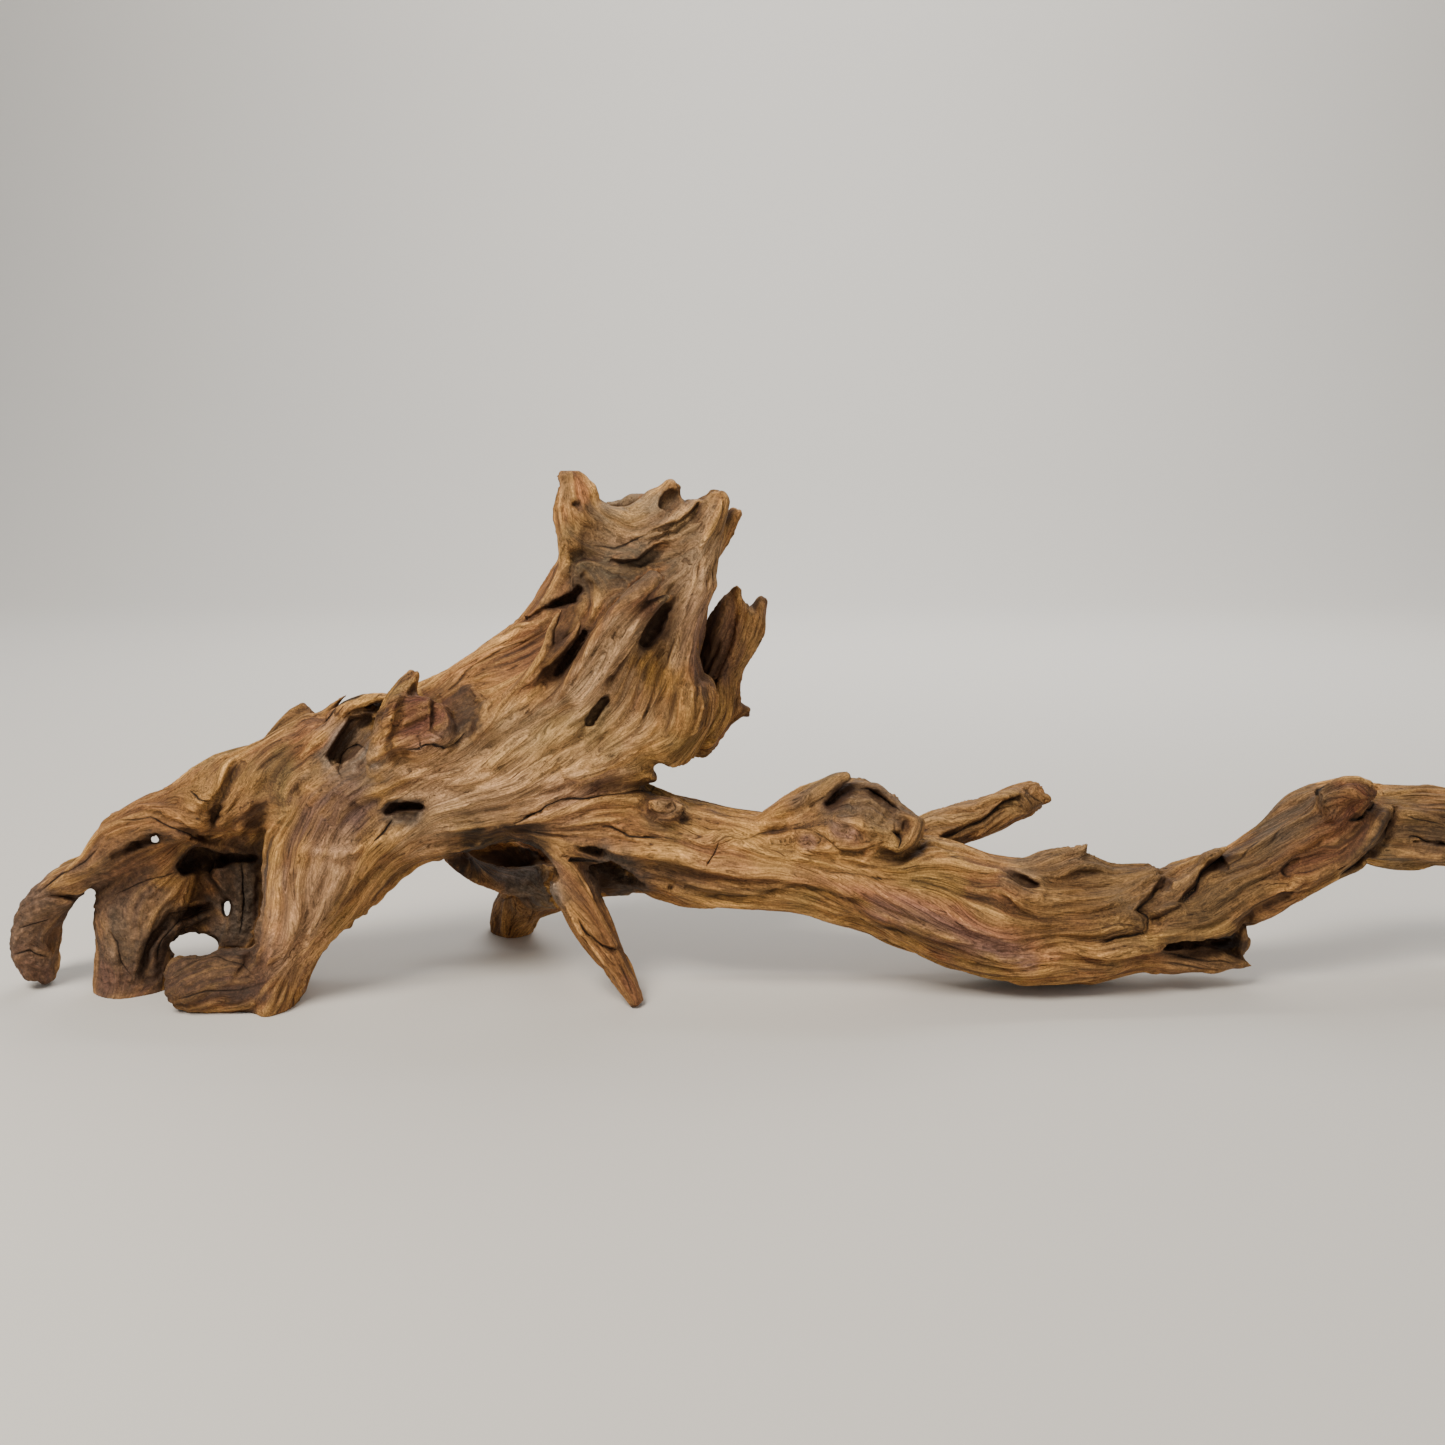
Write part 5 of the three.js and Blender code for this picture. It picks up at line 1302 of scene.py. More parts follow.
    def carve(self, form: Hollow) -> None:
        """Takes a hollow out of the wood, and remembers where the wood is rotted.

        Args:
            form: The hollow.
        """
        window, distance, _ = self.loft(form, 0.0, 0.0, self.HOLLOW_REACH)
        near = self.wood[window]
        overlap = np.clip(form.blend - np.abs(near + distance), 0, None) / form.blend
        self.wood[window] = np.maximum(near, -distance) + overlap**2 * form.blend / 4
        seen = form.rot * np.exp(-np.clip(distance, 0, None) / self.ROT_REACH)
        self.rot[window] = np.maximum(self.rot[window], seen)

    def roughen(self) -> None:
        """Gives the wood the swells that no limb has of its own."""
        near, points = self.grid.shell(self.wood, FAR / 2)
        for index, (cell, height) in enumerate(self.ROUGH):
            self.wood[near] += height * self.noise.at(points, cell, 7.3 * index)

    def front_depth(self) -> np.ndarray:
        """Finds how far from the camera the wood's front is.

        Returns:
            The distances in mm, for each few pixels of the picture.
        """
        near = np.nonzero(self.wood < COARSE * 0.6)
        u, v, depth = self.camera.project(self.grid.low + self.grid.step * np.stack(near, 1))
        cells = int(self.camera.side // self.PATCH) + 2 * self.RIM
        front = np.full((cells, cells), self.NO_WOOD, np.float32)
        spot = tuple(np.clip(np.rint(w / self.PATCH).astype(int) + self.RIM, 0, cells - 1) for w in (u, v))
        np.minimum.at(front, spot, depth.astype(np.float32))
        return front

    def seen(self, points: np.ndarray, front: np.ndarray) -> tuple[np.ndarray, ...]:
        """Which points the camera sees, or would but for a few mm of wood.

        Args:
            points: Places in mm, one a row.
            front: The depth of the wood's front.

        Returns:
            A weight from 0 to 1, the pixels both ways, and the scale in pixels a mm.
        """
        u, v, depth = self.camera.project(points)
        place = [np.clip(w / self.PATCH + self.RIM, 0, len(front) - 1.001) for w in (u, v)]
        base = [w.astype(int) for w in place]
        part = [w - b for w, b in zip(place, base)]
        nearest = np.zeros(len(points))
        for i, j in ((0, 0), (1, 0), (0, 1), (1, 1)):
            share = (part[0] if i else 1 - part[0]) * (part[1] if j else 1 - part[1])
            nearest += share * front[base[0] + i, base[1] + j]
        return 1 - smooth_step(*self.BEHIND, depth - nearest), u, v, self.camera.focal / depth

    def facing(self, grid: Grid, values: np.ndarray, front: np.ndarray,
               turn: tuple[float, float]) -> tuple[tuple[np.ndarray, ...], tuple[np.ndarray, ...]]:
        """The values near the surface that the camera sees.

        Args:
            grid: Where the values lie.
            values: Distances to the surface.
            front: The depth of the wood's front.
            turn: How far the wood must face the camera to weigh 0, and to weigh 1.

        Returns:
            The values' indices, and their places, weights, pixels both ways and scales.
        """
        near, points = grid.shell(values, self.BAND)
        found = (points, *self.seen(points, front))
        kept = found[1] > 0.01
        points, weight, *pixels = (array[kept] for array in found)
        sight = unit(points - np.array(self.camera.place))
        slope = unit(self.grid.slopes(self.wood, points))
        weight = weight * smooth_step(*turn, -(slope * sight).sum(1))
        return tuple(axis[kept] for axis in near), (points, weight, *pixels)

    @staticmethod
    def boxed(u: np.ndarray, v: np.ndarray, line: Line, reach: float) -> np.ndarray:
        """Finds the points near a line's box, in pixels.

        Args:
            u: Pixels from the left.
            v: Pixels from the top.
            line: The line's points.
            reach: How far past the box is still near.

        Returns:
            Their indices.
        """
        across, down = zip(*line)
        mask = (u > min(across) - reach) & (u < max(across) + reach)
        mask &= (v > min(down) - reach) & (v < max(down) + reach)
        return np.nonzero(mask)[0]

    def comb(self, marks: Iterable[Mark], front: np.ndarray) -> None:
        """Turns the grain of the seen side along the marks.

        Args:
            marks: The marks.
            front: The depth of the wood's front.
        """
        near, (_, weight, u, v, _) = self.facing(self.grid, self.wood, front, self.COMB_TURN)
        right, down, _ = self.camera.axes()
        grain = unit(self.grain[near])
        for form in marks:
            reach = (form.width * self.COMB_WIDTH[0] + self.COMB_WIDTH[1]) * self.PHOTO_SCALE
            box = self.boxed(u, v, form.line, 2.2 * reach)
            if not box.size:
                continue
            line = nearness(u[box], v[box], form.line)
            pull = (weight[box] * np.exp(-((line.distance / reach) ** 2)))[:, None]
            aim = line.way @ np.stack([right, down])
            old = grain[box]
            aim = aim * np.where((aim * old).sum(1) < 0, -1.0, 1.0)[:, None]
            grain[box] = unit(old * (1 - pull) + aim * pull)
        self.grain[near] = grain

    def level_grain(self) -> None:
        """Lays the grain in the surface, so that a streak never leaves it, and makes it wave."""
        near, points = self.grid.shell(self.wood, FAR / 2)
        out = unit(np.stack([np.gradient(self.wood, axis=axis)[near] for axis in range(3)], 1))
        grain = self.grain[near]
        grain = unit(grain - out * (grain * out).sum(1, keepdims=True))
        turn = sum(angle * self.noise.at(points, cell, 17.3) for cell, angle in self.WAVES)[:, None]
        self.grain[near] = grain * np.cos(turn) + np.cross(out, grain) * np.sin(turn)

    def fine(self) -> tuple[Grid, np.ndarray]:
        """Doubles the grid.

        Returns:
            The grid of half the step, and the field on it.
        """
        values = self.wood
        for axis in range(3):
            values = np.moveaxis(values, axis, 0)
            wider = np.empty((2 * len(values) - 1, *values.shape[1:]), np.float32)
            wider[::2] = values
            wider[1::2] = (values[:-1] + values[1:]) / 2
            values = np.moveaxis(wider, 0, axis)
        grid = Grid(self.grid.low, self.grid.low, self.grid.step / 2)
        grid.shape = values.shape
        return grid, np.ascontiguousarray(values)

    def cut_marks(self, grid: Grid, values: np.ndarray, marks: Iterable[Mark], front: np.ndarray) -> None:
        """Cuts the marks into the seen side of the fine field.

        Args:
            grid: The fine grid.
            values: Its distances, changed in place.
            marks: What is cut.
            front: The depth of the wood's front.
        """
        near, (points, weight, u, v, scale) = self.facing(grid, values, front, self.CUT_TURN)
        u, v = self.wander(points, u, v, scale)
        cell, share = self.UNEVEN
        uneven = 1 + share * self.noise.at(points, cell, 5.7)
        rise = np.zeros(len(points), np.float32)
        for form in marks:
            box = self.boxed(u, v, form.line, form.width * 4.2)
            if form.cut is not Cut.GRAIN and box.size:
                rise[box] += form.rise(nearness(u[box], v[box], form.line), scale[box]) * uneven[box]
        values[near] -= np.clip(rise, *self.LIMITS) * weight

    def wander(self, points: np.ndarray, u: np.ndarray, v: np.ndarray,
               scale: np.ndarray) -> tuple[np.ndarray, np.ndarray]:
        """Moves pixels a little with the place, so that a mark's line is as uneven as wood.

        Args:
            points: Places in mm, one a row.
            u: Pixels from the left.
            v: Pixels from the top.
            scale: Pixels a mm.

        Returns:
            The new pixels, both ways.
        """
        cell, far = self.WANDER
        shifts = 3.1, 6.9
        return tuple(w + scale * far * self.noise.at(points, cell, shift) for w, shift in zip((u, v), shifts))


@dataclass
class Skin:
    """The meshed surface, with what was found at each of its points."""

    points: np.ndarray
    quads: np.ndarray
    normals: np.ndarray
    values: dict[str, np.ndarray] = field(default_factory=dict)


@dataclass(frozen=True)
class Streaks:
    """One size of grain: the cell it is drawn from, its step, how many steps it runs, and how even it is."""

    name: str
    cell: float
    step: float
    count: int
    even: int


class Surface:
    """Meshes the field and finds on it the grain, the rot, how open the wood is, which sets painted shade,
    and the stained patches and patches of painted shade and light.
    """

    GRAINS = (Streaks("fibre", 1.25, 1.2, 14, 0), Streaks("ridge", 3.0, 2.6, 13, 2),
              Streaks("fold", 7.5, 6.0, 12, 12))
    # near_air and far_air set the painted shade in crevices, edge lightens convex edges, and thick limits the
    # relief.
    AIRS = (("near_air", 4.0), ("far_air", 13.0), ("edge", -2.5), ("thick", -7.0))  # mm off the surface
    ROUNDS = (0.5, -0.52) * 3  # shares of the smoothing, in turn inwards and outwards
    SOLE = 0.45  # points lower than this share of a step stand on the floor
    PATCHES = (13.0, 0.7, 0.9, 0.4)  # cell in mm, swing, mean and least of how a mark's shade shows
    # The ragged edge applies to every patch, the stained ones and those of painted shade and light.
    RAGS = (6.0, 0.35, 0.12)  # cell in mm of a stain's ragged edge, and its sway by noise and by grain

    def __init__(self, wood: WoodField, grid: Grid, values: np.ndarray, front: np.ndarray) -> None:
        """Meshes the fine field.

        Args:
            wood: The coarse field, with its grain and rot.
            grid: The fine grid.
            values: Its distances.
            front: The depth of the wood's front.
        """
        self.wood = wood
        self.grid = grid
        self.values = values
        self.front = front
        self.skin = self.mesh()

    def mesh(self) -> Skin:
        """Skins the field, with soles flat on the floor.

        Returns:
            The surface as quads, with the directions out of it.
        """
        step = self.grid.step
        floor = -(self.grid.low[2] + step * np.arange(self.grid.shape[2]))
        np.maximum(self.values, floor.astype(np.float32), out=self.values)
        volume = openvdb.FloatGrid(background=3.0 * step)
        volume.copyFromArray(np.clip(self.values, -3 * step, 3 * step))
        places, quads = volume.convertToQuads(0.0)
        points = self.grid.low + places.astype(np.float64) * step
        points, quads = self.largest_body(points, quads.astype(np.int64))
        for share in self.ROUNDS:
            points = self.smooth(points, quads, 1, share)
        points[points[:, 2] < self.SOLE * step, 2] = 0.0
        ahead = [self.grid.blend(self.values, points + offset) - self.grid.blend(self.values, points - offset)
                 for offset in np.eye(3) * step]
        return Skin(points, quads, unit(np.stack(ahead, 1)))

    @staticmethod
    def largest_body(points: np.ndarray, quads: np.ndarray) -> tuple[np.ndarray, np.ndarray]:
        """Leaves out loose crumbs.

        Args:
            points: Places in mm, one a row.
            quads: Four indices a row.

        Returns:
            The points and the quads of the largest connected body.
        """
        labels = connected(len(points), quads)[quads[:, 0]]
        used, local = numbered(quads[labels == np.bincount(labels).argmax()])
        return points[used], local

    @staticmethod
    def smooth(values: np.ndarray, quads: np.ndarray, times: int, share: float = 0.5) -> np.ndarray:
        """Evens values out between neighbouring points.

        Args:
            values: One number or one place for each point.
            quads: The faces.
            times: How often it is done.
            share: How far each value goes to its neighbours' mean; below 0 it goes away from it.

        Returns:
            The new values.
        """
        table = values.reshape(len(values), -1).astype(np.float64)
        count = 2.0 * np.bincount(quads.ravel(), minlength=len(table))[:, None]
        for _ in range(times):
            total = np.zeros_like(table)
            for corner in range(4):
                around = table[quads[:, corner - 1]] + table[quads[:, (corner + 1) % 4]]
                for column in range(table.shape[1]):
                    total[:, column] += np.bincount(quads[:, corner], around[:, column], len(table))
            table = table + share * (total / count - table)
        return table.reshape(values.shape)

    def streak(self) -> None:
        """Draws noise out along the grain, at each size of grain."""
        for order, size in enumerate(self.GRAINS):
            read = partial(self.wood.noise.at, cell=size.cell, shift=11.0 * order)
            total = read(self.skin.points)
            for sign in (1.0, -1.0):
                place = self.skin.points
                way = sign * self.wood.grain[self.wood.grid.nearest(place)].astype(np.float64)
                for step in range(size.count):
                    place = place + way * size.step
                    ahead = self.wood.grain[self.wood.grid.nearest(place)]
                    turned = np.where((ahead * way).sum(1) < 0, -1.0, 1.0)[:, None]
                    way = np.where((ahead * ahead).sum(1)[:, None] > 0.2, ahead * turned, way)
                    weight = 0.5 + 0.5 * math.cos(math.pi * (step + 1) / (size.count + 1))
                    total += weight * read(place)
            total = self.smooth(total, self.skin.quads, size.even)
            self.skin.values[size.name] = (total / total.std()).astype(np.float32)

    def measure_air_and_rot(self) -> None:
        """Finds how open the wood is round each point, which sets the painted shade in crevices, and where it
        is rotted.
        """
        skin = self.skin
        for name, reach in self.AIRS:
            air = self.grid.blend(self.values, skin.points + skin.normals * reach) / reach
            skin.values[name] = np.clip(air, -0.5, 1.2).astype(np.float32)
        skin.values["rot"] = self.wood.grid.blend(self.wood.rot, skin.points)

    def paint(self, stains_and_painted_light: Iterable[StainAndPaintedLight], marks: Iterable[Mark]) -> None:
        """Lays the stained patches and the patches of painted shade and light on the seen side, and the
        marks' lines of painted shade and their painted crest highlights.

        Args:
            stains_and_painted_light: The stains, each laid over those before it.
            marks: The marks.
        """
        skin, noise = self.skin, self.wood.noise
        weight, u, v, scale = self.wood.seen(skin.points, self.front)
        moved = self.wood.wander(skin.points, u, v, scale)
        dark, painted_crest_light, strength, cover = np.zeros((4, len(skin.points)), np.float32)
        side = np.full(len(skin.points), 4.0, np.float32)
        cell, swing, mean, least = self.PATCHES
        patchy = weight * np.clip(mean + swing * noise.at(skin.points, cell, 4.4), least, 1.0)
        for form in marks:
            box = WoodField.boxed(*moved, form.line, form.width * 3.0 + 6.0)
            if form.cut is Cut.GRAIN or not box.size:
                continue
            near = nearness(moved[0][box], moved[1][box], form.line)
            # The marks' painted shade beside torn ledges, in cracks and in grooves, and a painted highlight
            # along each ridge's crest.
            shade = form.shade(near, scale[box]) * patchy[box]
            dark[box] = np.maximum(dark[box], shade)
            painted_crest_light[box] = np.maximum(painted_crest_light[box], -shade)
            # Each crack, and the low side of each torn edge, gets a thin line of painted shade.
            if form.cut in (Cut.CRACK, Cut.LEDGE):
                away, full = form.split(near, scale[box])
                closer = np.abs(away) < np.abs(side[box])
                side[box] = np.where(closer, away, side[box])
                strength[box] = np.where(closer, full * patchy[box], strength[box])
        skin.values.update({"dark": dark, "painted_crest_light": painted_crest_light, "split": side, "gape": strength})
        colour = np.zeros((len(skin.points), 3), np.float32)
        cell, by_noise, by_grain = self.RAGS
        ragged = noise.at(skin.points, cell, 1.3) * by_noise + by_grain * skin.values["ridge"]
        for form in stains_and_painted_light:
            box = WoodField.boxed(u, v, form.line, form.width * 3.6)
            share = nearness(u[box], v[box], form.line).distance / scale[box] / form.width
            full = weight[box] * (1 - smooth_step(0.35, 1.5, share + ragged[box]))
            laid = form.strength * full
            skin.values["rot"][box] = np.maximum(skin.values["rot"][box], form.rot * full)
            total = cover[box] + laid - cover[box] * laid
            mix = np.where(total > 0, laid / np.maximum(total, 1e-6), 0)[:, None]
            colour[box] = colour[box] * (1 - mix) + np.array(form.colour) * mix
            cover[box] = total
        skin.values["stain_and_painted_light"] = np.concatenate([colour, cover[:, None]], 1)


def connected(count: int, faces: np.ndarray) -> np.ndarray:
    """A label for each point, the same for all points that faces join.

    Args:
        count: How many points there are.
        faces: Point indices, one face a row.

    Returns:
        The lowest index in each point's body.
    """
    label = np.arange(count)
    while True:
        lowest = label[faces].min(1)
        new = label.copy()
        for corner in range(faces.shape[1]):
            np.minimum.at(new, faces[:, corner], lowest)
        new = new[new]
        if np.array_equal(new, label):
            return label
        label = new


def numbered(faces: np.ndarray) -> tuple[np.ndarray, np.ndarray]:
    """Numbers the points of some faces afresh.

    Args:
        faces: Point indices, one face a row.

    Returns:
        The indices in use, in order, and the faces by their new numbers.
    """
    used = np.unique(faces)
    return used, np.searchsorted(used, faces)


class Nodes:
    """Adds nodes to a tree, and joins them."""

    def __init__(self, tree: bpy.types.NodeTree) -> None:
        """Takes the tree that the nodes go into."""
        self.tree = tree

    def add(self, kind: str, inputs: dict[object, object], **settings: object) -> bpy.types.Node:
        """Adds a node.

        Args:
            kind: The node's type.
            inputs: What each input is joined to or set to, by its name or its number.
            settings: The node's own options.

        Returns:
            The node.
        """
        node = self.tree.nodes.new(kind)
        for name, value in settings.items():
            setattr(node, name, value)
        for key, value in inputs.items():
            if isinstance(value, bpy.types.NodeSocket):
                self.tree.links.new(value, node.inputs[key])
            else:
                node.inputs[key].default_value = value
        return node

    def math(self, operation: str, *values: object) -> bpy.types.NodeSocket:
        """The result of a maths node."""
        return self.add("ShaderNodeMath", dict(enumerate(values)), operation=operation).outputs[0]

    def times(self, *values: object) -> bpy.types.NodeSocket:
        """The product of some values."""
        return reduce(partial(self.math, "MULTIPLY"), values)

    def plus(self, *values: object) -> bpy.types.NodeSocket:
        """The sum of some values."""
        return reduce(partial(self.math, "ADD"), values)


class ReliefTree:
    """Geometry Nodes that raise the surface by its grain."""

    INPUTS = (("Fold height", 0.0014), ("Fold crease", 0.0011), ("Ridge height", 0.001),
              ("Ridge crease", 0.0009), ("Fibre height", 0.00007), ("Crumb height", 0.0018))

    def build(self) -> bpy.types.NodeTree:
        """Makes the tree, with one named input for each size of relief.

        Returns:
            The tree.
        """
        tree = bpy.data.node_groups.new("grain_relief", "GeometryNodeTree")
        new_socket = tree.interface.new_socket
        new_socket("Geometry", in_out="INPUT", socket_type="NodeSocketGeometry")
        for name, value in self.INPUTS:
            new_socket(name, in_out="INPUT", socket_type="NodeSocketFloat").default_value = value
        new_socket("Material", in_out="INPUT", socket_type="NodeSocketMaterial")
        new_socket("Geometry", in_out="OUTPUT", socket_type="NodeSocketGeometry")
        nodes = Nodes(tree)
        entry = nodes.add("NodeGroupInput", {}).outputs
        fold, ridge, fibre, depth, rot = (
            self.named(nodes, name) for name in ("fold", "ridge", "fibre", "depth", "rot"))
        crumbs = nodes.add("ShaderNodeTexNoise", {"Scale": 170.0, "Detail": 1.5}).outputs["Fac"]
        grain = nodes.plus(
            nodes.times(nodes.math("TANH", fold), entry["Fold height"]),
            nodes.times(self.crease(nodes, fold, 2.4), entry["Fold crease"]),
            nodes.times(nodes.math("TANH", ridge), entry["Ridge height"]),
            nodes.times(self.crease(nodes, ridge, 2.0), entry["Ridge crease"]),
            nodes.times(fibre, entry["Fibre height"]))
        sound = nodes.math("SUBTRACT", 1.0, nodes.times(rot, 0.6))
        crumb = nodes.times(nodes.math("SUBTRACT", crumbs, 0.5), rot, 3.0, entry["Crumb height"])
        rise = nodes.times(nodes.plus(nodes.times(grain, sound), crumb), depth)
        offset = nodes.add("ShaderNodeVectorMath", {0: self.named(nodes, "lift", "FLOAT_VECTOR"),
                                                    "Scale": rise}, operation="SCALE").outputs[0]
        moved = nodes.add("GeometryNodeSetPosition", {"Geometry": entry["Geometry"], "Offset": offset})
        whole = nodes.add("GeometryNodeRealizeInstances", {0: moved.outputs[0]})
        dressed = nodes.add("GeometryNodeSetMaterial", {"Geometry": whole.outputs[0],
                                                        "Material": entry["Material"]})
        nodes.add("NodeGroupOutput", {0: dressed.outputs[0]})
        return tree

    @staticmethod
    def named(nodes: Nodes, name: str, kind: str = "FLOAT") -> bpy.types.NodeSocket:
        """The socket of a named attribute."""
        node = nodes.add("GeometryNodeInputNamedAttribute", {"Name": name}, data_type=kind)
        return node.outputs["Attribute"]

    @staticmethod
    def crease(nodes: Nodes, value: bpy.types.NodeSocket, sharp: float) -> bpy.types.NodeSocket:
        """A narrow trough where a grain passes zero: minus one there, and nothing away from it."""
        scaled = nodes.times(value, sharp)
        return nodes.times(nodes.math("EXPONENT", nodes.times(scaled, scaled, -1.0)), -1.0)


def set_input(modifier: bpy.types.NodesModifier, name: str, value: object) -> None:
    """Sets a modifier's input through its socket's identifier.

    Args:
        modifier: The modifier.
        name: The socket's name.
        value: What the input becomes.
    """
    for item in modifier.node_group.interface.items_tree:
        if item.item_type == "SOCKET" and item.in_out == "INPUT" and item.name == name:
            modifier[item.identifier] = value


def linked(name: str, data: bpy.types.ID) -> bpy.types.Object:
    """Puts a new object in the scene.

    Args:
        name: The object's name.
        data: Its mesh, camera or lamp.

    Returns:
        The object.
    """
    made = bpy.data.objects.new(name, data)
    bpy.context.scene.collection.objects.link(made)
    return made


def new_mesh(name: str, points: np.ndarray, quads: np.ndarray,
             triangles: np.ndarray = np.zeros((0, 3), np.int64)) -> bpy.types.Mesh:
    """A mesh of quads, and triangles after them.

    Args:
        name: The mesh's name.
        points: Places in metres, one a row.
        quads: Four indices a row.
        triangles: Three indices a row.

    Returns:
        The mesh, smooth shaded.
    """
    corners = np.concatenate([quads.ravel(), triangles.ravel()]).astype(np.int32)
    totals = np.repeat([4, 3], [len(quads), len(triangles)])
    starts = (np.cumsum(totals) - totals).astype(np.int32)
    mesh = bpy.data.meshes.new(name)
    mesh.vertices.add(len(points))
    mesh.vertices.foreach_set("co", points.astype(np.float32).ravel())
    mesh.loops.add(len(corners))
    mesh.loops.foreach_set("vertex_index", corners)
    mesh.polygons.add(len(totals))
    mesh.polygons.foreach_set("loop_start", starts)
    mesh.polygons.foreach_set("use_smooth", np.ones(len(totals), bool))
    mesh.update(calc_edges=True)
    mesh.validate()
    return mesh


def put_values(mesh: bpy.types.Mesh, values: dict[str, np.ndarray]) -> None:
    """Stores values on a mesh's points.

    Args:
        mesh: The mesh.
        values: One number, one direction or one colour for each point, by name.
    """
    kinds = {1: ("FLOAT", "value"), 3: ("FLOAT_VECTOR", "vector"), 4: ("FLOAT_COLOR", "color")}
    for name, array in values.items():
        kind, key = kinds[array.size // len(array)]
        mesh.attributes.new(name, kind, "POINT").data.foreach_set(key, array.astype(np.float32).ravel())


@dataclass(frozen=True)
class WoodFinish:
    """Weathered wood, coloured by its grain, its rot, its lighter convex edges and its stained patches, with
    painted shade in crevices, cracks, grooves and sunken streaks, and painted highlights on raised streaks
    and ridge crests.
    """

    slot: Slot
    light: Colour = (0.51, 0.27, 0.082)
    middle: Colour = (0.3, 0.14, 0.043)
    dark: Colour = (0.05, 0.022, 0.01)
    # black: the colour of the painted shade in cracks and of the painted shadow line under torn edges.
    black: Colour = (0.012, 0.007, 0.004)
    red: Colour = (0.26, 0.108, 0.042)
    olive: Colour = (0.19, 0.125, 0.042)
    ochre: Colour = (0.45, 0.24, 0.055)
    rotted: Colour = (0.085, 0.068, 0.052)
    roughness: float = 0.74

    def build(self) -> bpy.types.Material:
        """Makes the material.

        Returns:
            The material, named as its slot.
        """
        material = bpy.data.materials.new(self.slot.value)
        material.use_nodes = True
        nodes = Nodes(material.node_tree)
        times, plus = nodes.times, nodes.plus
        shader = material.node_tree.nodes["Principled BSDF"]
        coordinates = nodes.add("ShaderNodeTexCoord", {}).outputs["Object"]

        def attribute(name: str, output: str = "Fac") -> bpy.types.NodeSocket:
            """The socket of a point value."""
            return nodes.add("ShaderNodeAttribute", {}, attribute_name=name).outputs[output]

        def noise(scale: float, detail: float, roughness: float = 0.55,
                  where: bpy.types.NodeSocket = coordinates) -> bpy.types.NodeSocket:
            """Noise on the object's own coordinates, or on others."""
            return nodes.add("ShaderNodeTexNoise", {"Vector": where, "Scale": scale, "Detail": detail,
                                                    "Roughness": roughness}).outputs["Fac"]

        def spread(value: bpy.types.NodeSocket, low: float, high: float, to_low: float = 0.0,
                   to_high: float = 1.0) -> bpy.types.NodeSocket:
            """A value's range mapped to another, and held there."""
            return nodes.add("ShaderNodeMapRange", {"Value": value, "From Min": low, "From Max": high,
                                                    "To Min": to_low, "To Max": to_high}).outputs["Result"]

        def mix(factor: object, one: object, two: object, blend: str = "MIX") -> bpy.types.NodeSocket:
            """Mixes two colours.

            Args:
                factor: The share of the second one.
                one: The first colour, or its socket.
                two: The second.
                blend: How they are mixed.

            Returns:
                The mixed colour's socket.
            """
            one, two = ((*value, 1.0) if isinstance(value, tuple) else value for value in (one, two))
            return nodes.add("ShaderNodeMix", {0: factor, 6: one, 7: two}, data_type="RGBA",
                             blend_type=blend).outputs[2]

        fibre, ridge, fold, rot = (attribute(name) for name in ("fibre", "ridge", "fold", "rot"))
        weave = nodes.add("ShaderNodeCombineXYZ", {0: times(ridge, 2.6), 1: times(fibre, 0.9),
                                                   2: times(fold, 4.0)})
        lines = noise(1.0, 3.0, 0.6, weave.outputs[0])
        colour = mix(spread(noise(16.0, 4.0), 0.36, 0.66), self.middle, self.red)
        for value, low, high, most, tone in (
            (noise(27.0, 5.0), 0.5, 0.68, 0.85, self.olive),
            (noise(21.0, 4.0), 0.53, 0.68, 0.7, self.ochre),
            # The ridge and fold values also raise the surface, so these rows paint raised streaks lighter and
            # sunken ones darker: the grain's own tone with painted highlight and painted shade.
            (ridge, -0.1, 2.0, 0.75, self.light),
            (fold, 0.3, 2.2, 0.35, self.light),
            (fold, -0.7, -2.4, 0.5, self.dark),
            (ridge, -0.3, -1.7, 0.7, self.dark),
            (fibre, 0.2, 2.4, 0.35, self.light),
            (fibre, -0.2, -2.4, 0.55, self.dark),
        ):
            colour = mix(spread(value, low, high, 0.0, most), colour, tone)
        # Stained patches and the patches of painted shade and painted light go over the grain.
        streaked = mix(spread(fibre, -2.0, 2.0, 0.0, 0.34), attribute("stain_and_painted_light", "Color"), colour)
        colour = mix(attribute("stain_and_painted_light", "Alpha"), colour, streaked)

        sound = spread(rot, 0.0, 1.0, 1.0, 0.35)
        # Brightness from the grain lines and the pores, a painted highlight on the marks' ridge crests, and
        # lighter convex edges.
        gain = nodes.math("SUBTRACT", spread(lines, 0.28, 0.76, 0.2, 1.85), 1.0)
        gain = times(plus(times(gain, sound), 1.0), spread(noise(900.0, 3.0, 0.6), 0.3, 0.7, 0.72, 1.25),
                     spread(attribute("painted_crest_light"), 0.0, 1.0, 1.0, 1.6),
                     spread(attribute("edge"), 0.95, 0.5, 1.0, 1.35))
        colour = nodes.add("ShaderNodeVectorMath", {0: colour, "Scale": gain}, operation="SCALE").outputs[0]

        crumb = spread(noise(260.0, 5.0, 0.7), 0.38, 0.62)
        crumbled = mix(1.0, colour, mix(crumb, (0.3, 0.28, 0.26), (1.25, 1.2, 1.15)), "MULTIPLY")
        colour = mix(times(rot, 0.4), mix(rot, colour, crumbled), self.rotted)

        turn = plus(times(ridge, 2.3), times(fold, 1.4))
        check = spread(nodes.math("ABSOLUTE", nodes.math("SINE", turn)), 0.42, 0.1)
        check = times(check, spread(noise(38.0, 3.0), 0.43, 0.58), sound, spread(fibre, 1.2, -1.4, 0.15, 1.0))
        colour = mix(times(check, 0.88), colour, self.dark)

